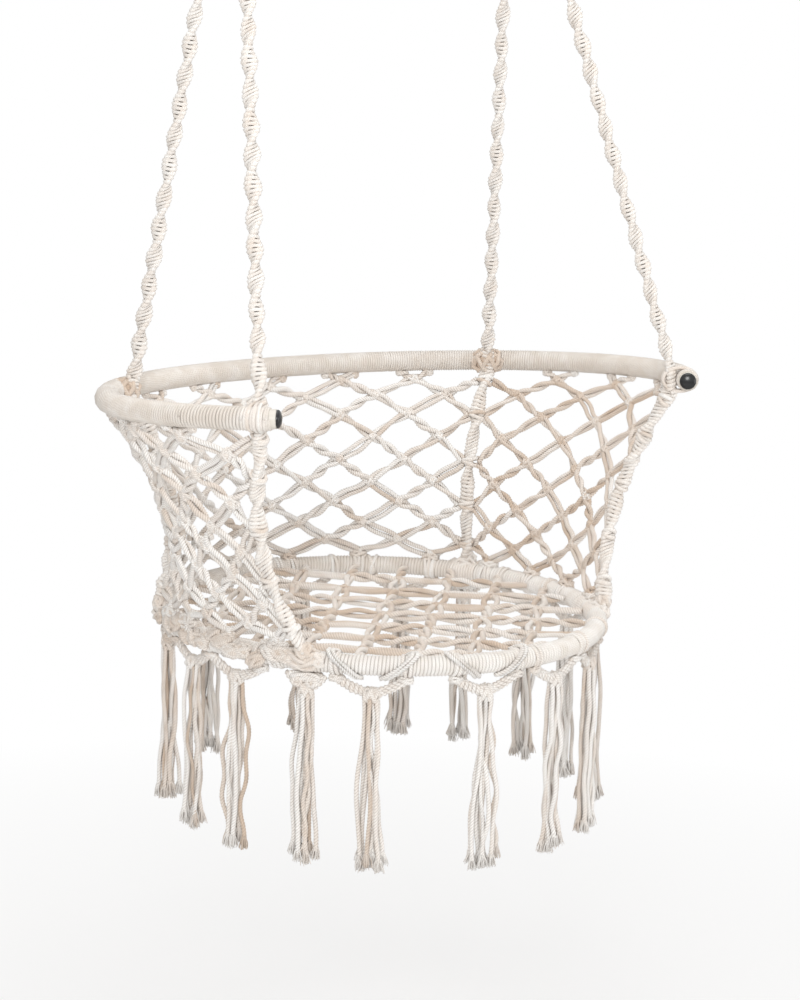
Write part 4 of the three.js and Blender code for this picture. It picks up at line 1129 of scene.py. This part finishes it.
class AddWraps(Operator):
    """Cord wound round both rings, between the hitches"""
    bl_idname = "chair.add_wraps"
    bl_label = "Add Wraps"

    def execute(self, context):
        sizes = context.scene.chair_sizes
        material = finish(context, "wound_cotton")
        cord = sizes.wound_cord
        seat_names = ("seat_wrap_right", "seat_wrap_back", "seat_wrap_left", "seat_wrap_front")
        ribs = [corner[1] for corner in CORNERS.values()]
        for i, node in enumerate(seat_names):
            start = ribs[i] + RIB_HITCH_HALF / SEAT_RADIUS
            end = (ribs[i + 1] if i < 3 else ribs[0] + FULL_TURN) - RIB_HITCH_HALF / SEAT_RADIUS
            bundle = Bundle()
            # The back wrap gets a lower tone than the others: painted shade at the rear of the ring.
            wind(bundle, seat_station, seat_turn, start, end, SEAT_WRAP_RADIUS, cord * SEAT_WOUND,
                 cord * SEAT_WOUND_PITCH, np.random.default_rng(SEEDS["seat_wraps"] + i),
                 tone=0.5 if node == "seat_wrap_back" else 0.62)
            piece(bundle, f"wound_{node}", "chair", [node], material)
        bare = back_turn(BACK_END_ANGLE, BARE_TUBE_END)
        stops = [BACK_END_ANGLE + bare]
        for angle in [corner[0] for corner in CORNERS.values()]:
            turn = back_turn(angle, ROPE_HITCH_HALF)
            stops += [angle - turn, angle + turn]
        stops.append(FULL_TURN - BACK_END_ANGLE - bare)
        back_names = ("back_wrap_right_end", "back_wrap_right", "back_wrap_centre", "back_wrap_left",
                      "back_wrap_left_end")
        coarse = back_turn(FRONT_ROPE_ANGLE, COARSE_LENGTH)
        for i, node in enumerate(back_names):
            bundle = Bundle()
            rng = np.random.default_rng(SEEDS["back_wraps"] + i)
            first, last = stops[2 * i], stops[2 * i + 1]
            thick_until = {0: last, 1: first + coarse}.get(i, first)
            thick_from = {3: last - coarse, 4: first}.get(i, last)
            for a, b, thick in ((first, thick_until, cord * COARSE_WOUND),
                                (thick_until, thick_from, cord),
                                (max(thick_from, thick_until), last, cord * COARSE_WOUND)):
                if b > a:
                    wind(bundle, back_station, back_turn, a, b, BACK_WRAP_RADIUS, thick,
                         thick * BACK_WOUND_PITCH, rng)
            piece(bundle, f"wound_{node}", "chair", [node], material)
        return {"FINISHED"}


# The knots that bind ropes and ribs: the wound cord under them, thickness and pitch beside its
# size, and the rear knots' sizes and cord. Half sizes of knots are in millimetres.
UNDER_ROPE, UNDER_ROPE_PITCH = 1.15, 1.13
UNDER_RIB, UNDER_RIB_PITCH = 0.8, 0.78
REAR_KNOT = (20, 21, 19)
REAR_KNOT_SIZES = {"rear_right": 1.0, "rear_left": 0.85}
REAR_KNOT_CORD = 1.3
RIB_KNOT, RIB_FOOT_KNOT, RIB_SIDE_KNOT = (14, 14.5, 19), (11, 9, 9), (7, 9, 8)


class AddHitches(Operator):
    """Knots that bind the ropes and ribs to the rings"""
    bl_idname = "chair.add_hitches"
    bl_label = "Add Hitches"

    def execute(self, context):
        sizes = context.scene.chair_sizes
        material = finish(context, "braided_cotton")
        for index, corner in enumerate(CORNERS):
            rng = np.random.default_rng(SEEDS["hitches"] + index)
            bundle = self.rope_hitch(corner, sizes, rng)
            piece(bundle, f"knotted_rope_hitch_{corner}", "chair", [f"rope_hitch_{corner}"],
                  material)
            bundle = self.rib_hitch(corner, sizes, rng)
            piece(bundle, f"knotted_rib_hitch_{corner}", "chair", [f"seat_hitch_{corner}"],
                  material)
        return {"FINISHED"}

    def rope_hitch(self, corner, sizes, rng):
        """The braid runs down the ring's inner face. A rear one is knotted round the ring as well."""
        bundle = Bundle()
        cord, angle = sizes.braid_cord, CORNERS[corner][0]
        turn = back_turn(angle, ROPE_HITCH_HALF)
        wind(bundle, back_station, back_turn, angle - turn, angle + turn, BACK_WRAP_RADIUS + 0.3 * MM,
             sizes.wound_cord * UNDER_ROPE, sizes.wound_cord * UNDER_ROPE_PITCH, rng)
        centre, outward, travel, over = back_station(angle)
        face = centre - outward * ROPE_REACH
        path = face + over * (np.linspace(1, -1, 12) * (ROPE_KNOT_HEIGHT + 1 * MM))[:, None]
        spiral_braid(bundle, path, travel, ROPE_HALF_WIDTH, 8 * MM, cord, 0, 0.3, rng, slant=3 * MM)
        if corner in REAR_KNOT_SIZES:
            # The rear knots get a very low tone: painted shade for the shadows among their turns.
            woven_lump(bundle, centre - outward * 11 * MM, (outward, travel, over),
                       mm(*REAR_KNOT) * REAR_KNOT_SIZES[corner], cord * REAR_KNOT_CORD, rng,
                       leads=5, bights=7, tone=0.1)
        else:
            for k in (-1, 0, 1):
                middle = centre - outward * (ROPE_REACH * 0.5 - 1 * MM) + travel * k * cord
                loop_round(bundle, middle, unit(outward + travel * rng.normal(0, HITCH_LEAN)), over,
                           (ROPE_REACH + BACK_WRAP_RADIUS + 10 * MM) / 2, BACK_WRAP_RADIUS + 1 * MM,
                           cord, 0.5 + 0.1 * rng.standard_normal(), steps=24)
        return bundle

    def rib_hitch(self, corner, sizes, rng):
        """A thick cluster of knots round the ring where the rib ends."""
        bundle = Bundle()
        cord, angle = sizes.net_cord, CORNERS[corner][1]
        turn = seat_turn(angle, RIB_HITCH_HALF)
        wind(bundle, seat_station, seat_turn, angle - turn, angle + turn, SEAT_WRAP_RADIUS + 0.8 * MM,
             cord * UNDER_RIB, cord * UNDER_RIB_PITCH, rng)
        centre, outward, travel, over = seat_station(angle)
        axes = (outward, over, travel)
        woven_lump(bundle, centre + outward * 5 * MM + over * 3 * MM, axes, mm(*RIB_KNOT), cord, rng,
                   leads=5, bights=7)
        woven_lump(bundle, centre + outward * RIB_REACH + over * (RIB_KNOT_HEIGHT - 1 * MM),
                   (travel, outward, over), mm(*RIB_FOOT_KNOT), cord, rng, bights=5)
        for side in (-1, 1):
            woven_lump(bundle, centre + outward * 10 * MM + over * 4 * MM + travel * side * 19 * MM,
                       axes, mm(*RIB_SIDE_KNOT), cord, rng)
        return bundle


# Tassels: where they hang round the ring, their two braided arms, the half sizes of their knots in
# millimetres, how their loose cords are set in the knot, and how long and how wide they hang.
FRONT_TASSEL_ANGLES = tuple(math.radians(a) for a in (-41, -11.5, 12, 32.5))
SIDE_TASSEL_SHARES = (0.34, 0.64)
BACK_TASSEL_SHARES = (0.148, 0.38, 0.652)
HINGE_GAP = 2.6 * MM
ARM_HALF_WIDTH, ARM_HALF_DEPTH = 6.7 * MM, 5.2 * MM
ARM_PITCH = 6.4 * MM
ARM_DROP = 1.5 * MM
ARM_SAG = 3 * MM
ARM_SLANT = 1.5 * MM
ARM_END_KNOT, ARM_END_KNOT_CORD = (5.6, 4.6, 9), 0.7
TASSEL_KNOT = (9.5, 7.5, 10)
RIB_ROOT_KNOT, RIB_ARM_KNOT = (7, 6, 19), (10, 8, 7)
INNER_CORDS = 3
INNER_RING = 0.35
ROOT_HALF_WIDTH, ROOT_HALF_DEPTH = 8.5 * MM, 6.5 * MM
LONGEST_EXTRA = 10 * MM
LENGTH_SPREAD = 14 * MM
REAR_SHORTENING = 11 * MM
TIP_REACH, TIP_REACH_SPREAD = 10 * MM, 9 * MM
NARROW_TASSEL = 0.84
TIP_STRAY = 2 * MM
TASSEL_THICKNESS_SPREAD = 0.06

# A loose cord: its points and how many of them are frayed, its slow waves and quick kinks, how its
# end thickens, and the yarns that it is combed out into. They start in three rings round its
# middle, a few points above its end, and flare and bow outwards.
CORD_POINTS = 190
FRAYED_POINTS = 13
WAVE, WAVE_RATE = 5.5 * MM, 5
KINK, KINK_RATE = 1.1 * MM, 21
END_SHARE = 0.15
END_SWELL = 0.14
LOOSE_LAY = 1.15
YARNS = 26
YARN_POINTS = 7
YARN_LENGTH, YARN_LENGTH_SPREAD = 16 * MM, 3 * MM
YARN_ROOT_RADIUS, YARN_TIP_RADIUS = 1.1 * MM, 0.6 * MM
YARN_CURL = 0.5 * MM
YARN_OVERLAP = 6
YARN_RINGS = 3
YARN_INNER_RING, YARN_RING_STEP = 0.3, 0.34
YARN_START = 0.75
YARN_FLARE, YARN_FLARE_SPREAD = 1.7, 1.5
YARN_BOW = 0.25


def tassel_places():
    """Angle round the seat ring and arm reach of each tassel, in the nodes' order."""
    sides = [FRONT_RIB_ANGLE + (REAR_RIB_ANGLE - FRONT_RIB_ANGLE) * s for s in SIDE_TASSEL_SHARES]
    back = [REAR_RIB_ANGLE + (FULL_TURN - 2 * REAR_RIB_ANGLE) * s for s in BACK_TASSEL_SHARES]
    wide, slim = TASSEL_ARM_REACH, RIB_TASSEL_ARM_REACH
    return ([(a, wide) for a in FRONT_TASSEL_ANGLES] + [(FRONT_RIB_ANGLE, slim)]
            + [(a, wide) for a in sides] + [(REAR_RIB_ANGLE, slim)] + [(a, wide) for a in back]
            + [(-REAR_RIB_ANGLE, slim)] + [(-a, wide) for a in reversed(sides)]
            + [(-FRONT_RIB_ANGLE, slim)])


class AddTassels(Operator):
    """Fifteen tassels under the seat ring: two braided arms, a knot and loose cords with frayed tips"""
    bl_idname = "chair.add_tassels"
    bl_label = "Add Tassels"

    def execute(self, context):
        sizes = context.scene.chair_sizes
        material = finish(context, "twisted_cotton")
        for index, (angle, reach) in enumerate(tassel_places()):
            name = f"tassel_{index + 1:02d}"
            rng = np.random.default_rng(SEEDS["tassels"] + index)
            self.tassel(name, angle, reach, sizes, material, rng)
        return {"FINISHED"}

    def tassel(self, name, angle, reach, sizes, material, rng):
        bundle = Bundle()
        cord = sizes.net_cord
        # Tassels further back get a slightly lower tone: painted shade towards the rear.
        tone = 0.56 + 0.03 * math.cos(angle)
        centre, _, travel, over = seat_station(angle)
        hinge = centre - over * (SEAT_WRAP_RADIUS + HINGE_GAP)
        down = PLUMB
        radial = unit(np.cross(travel, down))
        knot = hinge + down * TASSEL_KNOT_DROP
        for side in (-1, 1):
            start = hinge + travel * side * reach + down * ARM_DROP
            share = np.linspace(0, 1, 20)[:, None]
            path = start + (knot - start) * share + down * ARM_SAG * np.sin(math.pi * share)
            spiral_braid(bundle, path, down, ARM_HALF_WIDTH, ARM_HALF_DEPTH, cord, 0, 0.0, rng,
                         pitch=ARM_PITCH, tone=tone, slant=ARM_SLANT)
            if reach == TASSEL_ARM_REACH:
                woven_lump(bundle, start + travel * side * 1 * MM, (radial, down, travel),
                           mm(*ARM_END_KNOT), cord * ARM_END_KNOT_CORD, rng, bights=5, tone=tone)
        woven_lump(bundle, knot + down * 2 * MM, (travel, radial, down), mm(*TASSEL_KNOT), cord, rng,
                   bights=5, tone=tone)
        if reach == RIB_TASSEL_ARM_REACH:
            woven_lump(bundle, hinge + down * 5 * MM, (radial, down, travel), mm(*RIB_ROOT_KNOT), cord,
                       rng, leads=5, bights=6, tone=tone)
            for side in (-1, 1):
                woven_lump(bundle, hinge + down * 11 * MM + travel * side * 10 * MM,
                           (travel, down, radial), mm(*RIB_ARM_KNOT), cord, rng, tone=tone)
        count, inner = sizes.tassel_cords, INNER_CORDS
        narrow = NARROW_TASSEL if angle in FRONT_TASSEL_ANGLES[2:] else 1.0
        for k in range(count):
            ring = INNER_RING if k < inner else 1.0
            turn = FULL_TURN * (k + 0.5 * rng.random()) / (inner if k < inner else count - inner)
            ring_x, ring_y = ring * math.cos(turn), ring * math.sin(turn)
            thick = sizes.tassel_cord / 2 * (1 + TASSEL_THICKNESS_SPREAD * rng.standard_normal())
            start = (knot + down * 6 * MM + travel * ring_x * ROOT_HALF_WIDTH
                     + radial * ring_y * ROOT_HALF_DEPTH)
            shorter = LENGTH_SPREAD * rng.random() + REAR_SHORTENING * (1 - math.cos(angle))
            length = TASSEL_LENGTH - TASSEL_KNOT_DROP + LONGEST_EXTRA - shorter
            spread = (TIP_REACH + TIP_REACH_SPREAD * rng.random()) * narrow
            tip = knot + down * length + (travel * ring_x + radial * ring_y) * spread
            tip = tip + travel * rng.normal(0, TIP_STRAY) + radial * rng.normal(0, TIP_STRAY)
            self.loose_cord(bundle, start, tip, travel, radial, down, thick, sizes.cord_lay,
                            tone + 0.2 * rng.standard_normal(), rng)
        piece(bundle, f"corded_{name}", name, [name], material)

    def loose_cord(self, bundle, start, tip, travel, radial, down, thick, lay, tone, rng):
        """A twisted cord hanging in slight waves, its end combed out into yarns."""
        s = np.linspace(0, 1, CORD_POINTS)
        path = start + (tip - start) * s[:, None]
        for aside in (travel, radial):
            wave = rng.normal(0, WAVE) * np.sin(math.pi * s) * np.sin(WAVE_RATE * s + rng.random() * 6)
            kink = rng.normal(0, KINK) * np.sin(KINK_RATE * s + rng.random() * 6) * np.minimum(1, 6 * s)
            path = path + aside * (wave + kink)[:, None]
        keep = CORD_POINTS - FRAYED_POINTS
        width = thick * (1 + END_SWELL * np.clip((s - (1 - END_SHARE)) / END_SHARE, 0, 1))
        bundle.cord(path[:keep], radial, width[:keep], lobe=0.15, lay=lay * LOOSE_LAY,
                    turn=rng.random() * 6, tone=tone)
        base = path[keep - YARN_OVERLAP]
        for k in range(YARNS):
            a = FULL_TURN * k / YARNS + rng.random()
            ring = YARN_INNER_RING + YARN_RING_STEP * (k % YARN_RINGS)
            side = travel * math.cos(a) + radial * math.sin(a)
            root = base + side * thick * ring * YARN_START
            drop = YARN_LENGTH + YARN_LENGTH_SPREAD * rng.random()
            flare = YARN_FLARE + YARN_FLARE_SPREAD * rng.random()
            end = base + down * drop + side * thick * ring * flare
            along = np.linspace(0, 1, YARN_POINTS)[:, None]
            curl = travel * rng.normal(0, YARN_CURL) + radial * rng.normal(0, YARN_CURL)
            line = root + (end - root) * along + side * thick * YARN_BOW * np.sin(math.pi * along) \
                + curl * np.sin(5 * along + a)
            bundle.cord(line, radial + travel * 0.3,
                        np.linspace(YARN_ROOT_RADIUS, YARN_TIP_RADIUS, YARN_POINTS), sides=4,
                        tone=tone + 0.1)


# The end caps and their sleeves as profiles, radius and height along the tube, in millimetres. How
# far a hanging ring's weld reaches from its middle, and how much thicker the wire is there, follows.
CAP_PLUG = ((0, -14), (8.4, -14), (9.0, -13), (9.0, 0.3), (11.2, 0.3), (11.6, 0.7))
CAP_RADIUS, CAP_RIM, CAP_RISE = 11.6, 1.4, 4.8
SLEEVE = ((11.05, -9), (12.0, -9), (12.3, -8.6), (12.3, -0.8), (11.9, -0.2), (11.05, -0.2),
          (11.05, -9))
WELD_REACH = 1.3 * MM
WELD_SWELL = 0.13


class AddFittings(Operator):
    """End caps and tube ends of the back ring, the welded hanging rings, and the finish of the tubes"""
    bl_idname = "chair.add_fittings"
    bl_label = "Add Fittings"

    def execute(self, context):
        for node in ("seat_ring_tube", "back_ring_tube"):
            made = bpy.data.objects[node]
            made.data.materials.clear()
            made.data.materials.append(finish(context, "satin_off_white_paint"))
        for name, angle, hand in (("right", BACK_END_ANGLE, -1), ("left", FULL_TURN - BACK_END_ANGLE, 1)):
            self.end_cap(context, name, angle, hand)
        for name, side in (("left", -1), ("right", 1)):
            self.hanging_ring(context, name, side)
        return {"FINISHED"}

    def place(self, context, made, where, turn, name, body, nodes, slot, material):
        made.name = name
        made.data.name = name
        made.data.transform(Matrix.Translation(where) @ turn)
        made.data.materials.append(finish(context, material))
        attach(made, body)
        if nodes:
            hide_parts(*nodes)

    def spun(self, profile):
        """Turns a profile of radius and height, in millimetres, round the Z axis."""
        bpy.ops.object.select_all(action="DESELECT")
        bpy.ops.mesh.primitive_circle_add(vertices=len(profile), radius=1 * MM)
        made = bpy.context.object
        mesh = made.data
        shape = bmesh.new()
        corners = [shape.verts.new((r * MM, 0, z * MM)) for r, z in profile]
        for a, b in zip(corners, corners[1:]):
            shape.edges.new((a, b))
        shape.to_mesh(mesh)
        shape.free()
        bpy.ops.object.mode_set(mode="EDIT")
        bpy.ops.mesh.select_all(action="SELECT")
        bpy.ops.mesh.spin(steps=48, angle=FULL_TURN, center=(0, 0, 0), axis=(0, 0, 1))
        bpy.ops.mesh.select_all(action="SELECT")
        bpy.ops.mesh.remove_doubles(threshold=0.01 * MM)
        bpy.ops.mesh.normals_make_consistent(inside=False)
        bpy.ops.object.mode_set(mode="OBJECT")
        bpy.ops.object.shade_smooth_by_angle(angle=math.radians(35))
        return made

    def end_cap(self, context, name, angle, hand):
        """A domed cap with a rolled rim on a plug, and the pale sleeve that it sits on."""
        centre, _, travel, _ = back_station(angle)
        where = Vector(hung(centre))
        turn = Vector(leaned(travel * hand)).to_track_quat("Z", "Y").to_matrix().to_4x4()
        dome = [(CAP_RADIUS * math.cos(a), CAP_RIM + CAP_RISE * math.sin(a))
                for a in np.linspace(0, math.pi / 2, 12)[:-1]]
        profile = [*CAP_PLUG, *dome, (0, CAP_RIM + CAP_RISE)]
        self.place(context, self.spun(profile), where, turn, f"domed_end_cap_{name}", "chair",
                   [f"{name}_end_cap"], "end_cap", "moulded_black_plastic")
        self.place(context, self.spun(SLEEVE), where, turn, f"tube_end_sleeve_{name}", "chair", [],
                   "ring_tube", "moulded_pale_plastic")

    def hanging_ring(self, context, name, side):
        """A ring of drawn wire, its ends butted and welded at one side."""
        bpy.ops.object.select_all(action="DESELECT")
        bpy.ops.mesh.primitive_torus_add(major_radius=HOOK_RING_RADIUS, minor_radius=HOOK_WIRE_RADIUS,
                                         major_segments=96, minor_segments=20)
        made = bpy.context.object
        for vertex in made.data.vertices:
            gap = abs(vertex.co.y) if vertex.co.x * side > 0 else 1
            swell = math.exp(-(gap / WELD_REACH) ** 2) * WELD_SWELL
            middle = Vector((vertex.co.x, vertex.co.y, 0)).normalized() * HOOK_RING_RADIUS
            vertex.co += (vertex.co - middle) * swell
        bpy.ops.object.shade_smooth()
        where = Vector((side * HANG_HALF_SPAN, 0, RING_HEIGHT + HOOK_RING_RADIUS - HOOK_HEIGHT))
        turn = Matrix.Rotation(math.pi / 2, 4, "X")
        self.place(context, made, where, turn, f"welded_ring_{name}", "hanger", [f"hanging_ring_{name}"],
                   "hanging_ring", "drawn_steel")


class VIEW3D_PT_hammock_chair(Panel):
    """Lists the chair's builders"""
    bl_label = "Hammock Chair"
    bl_space_type = "VIEW_3D"
    bl_region_type = "UI"
    bl_category = "Chair"

    def draw(self, context):
        for group in (context.scene.chair_sizes, context.scene.chair_colours):
            for key in group.__annotations__:
                self.layout.prop(group, key)
        for builder in BUILDERS:
            self.layout.operator(builder.bl_idname)


BUILDERS = (SetUpStage, AddRopes, AddRibs, AddNets, AddWraps, AddHitches, AddTassels, AddFittings)
CLASSES = (ChairSizes, ChairColours, *BUILDERS, VIEW3D_PT_hammock_chair)


def register():
    for one in CLASSES:
        bpy.utils.register_class(one)
    bpy.types.Scene.chair_sizes = PointerProperty(type=ChairSizes)
    bpy.types.Scene.chair_colours = PointerProperty(type=ChairColours)


def unregister():
    del bpy.types.Scene.chair_sizes
    del bpy.types.Scene.chair_colours
    for one in reversed(CLASSES):
        bpy.utils.unregister_class(one)


def main():
    register()
    bpy.ops.object.select_all(action="DESELECT")
    bpy.ops.chair.set_up_stage()
    bpy.ops.chair.add_ropes()
    bpy.ops.chair.add_ribs()
    bpy.ops.chair.add_nets()
    bpy.ops.chair.add_wraps()
    bpy.ops.chair.add_hitches()
    bpy.ops.chair.add_tassels()
    bpy.ops.chair.add_fittings()


if __name__ == "__main__":
    main()
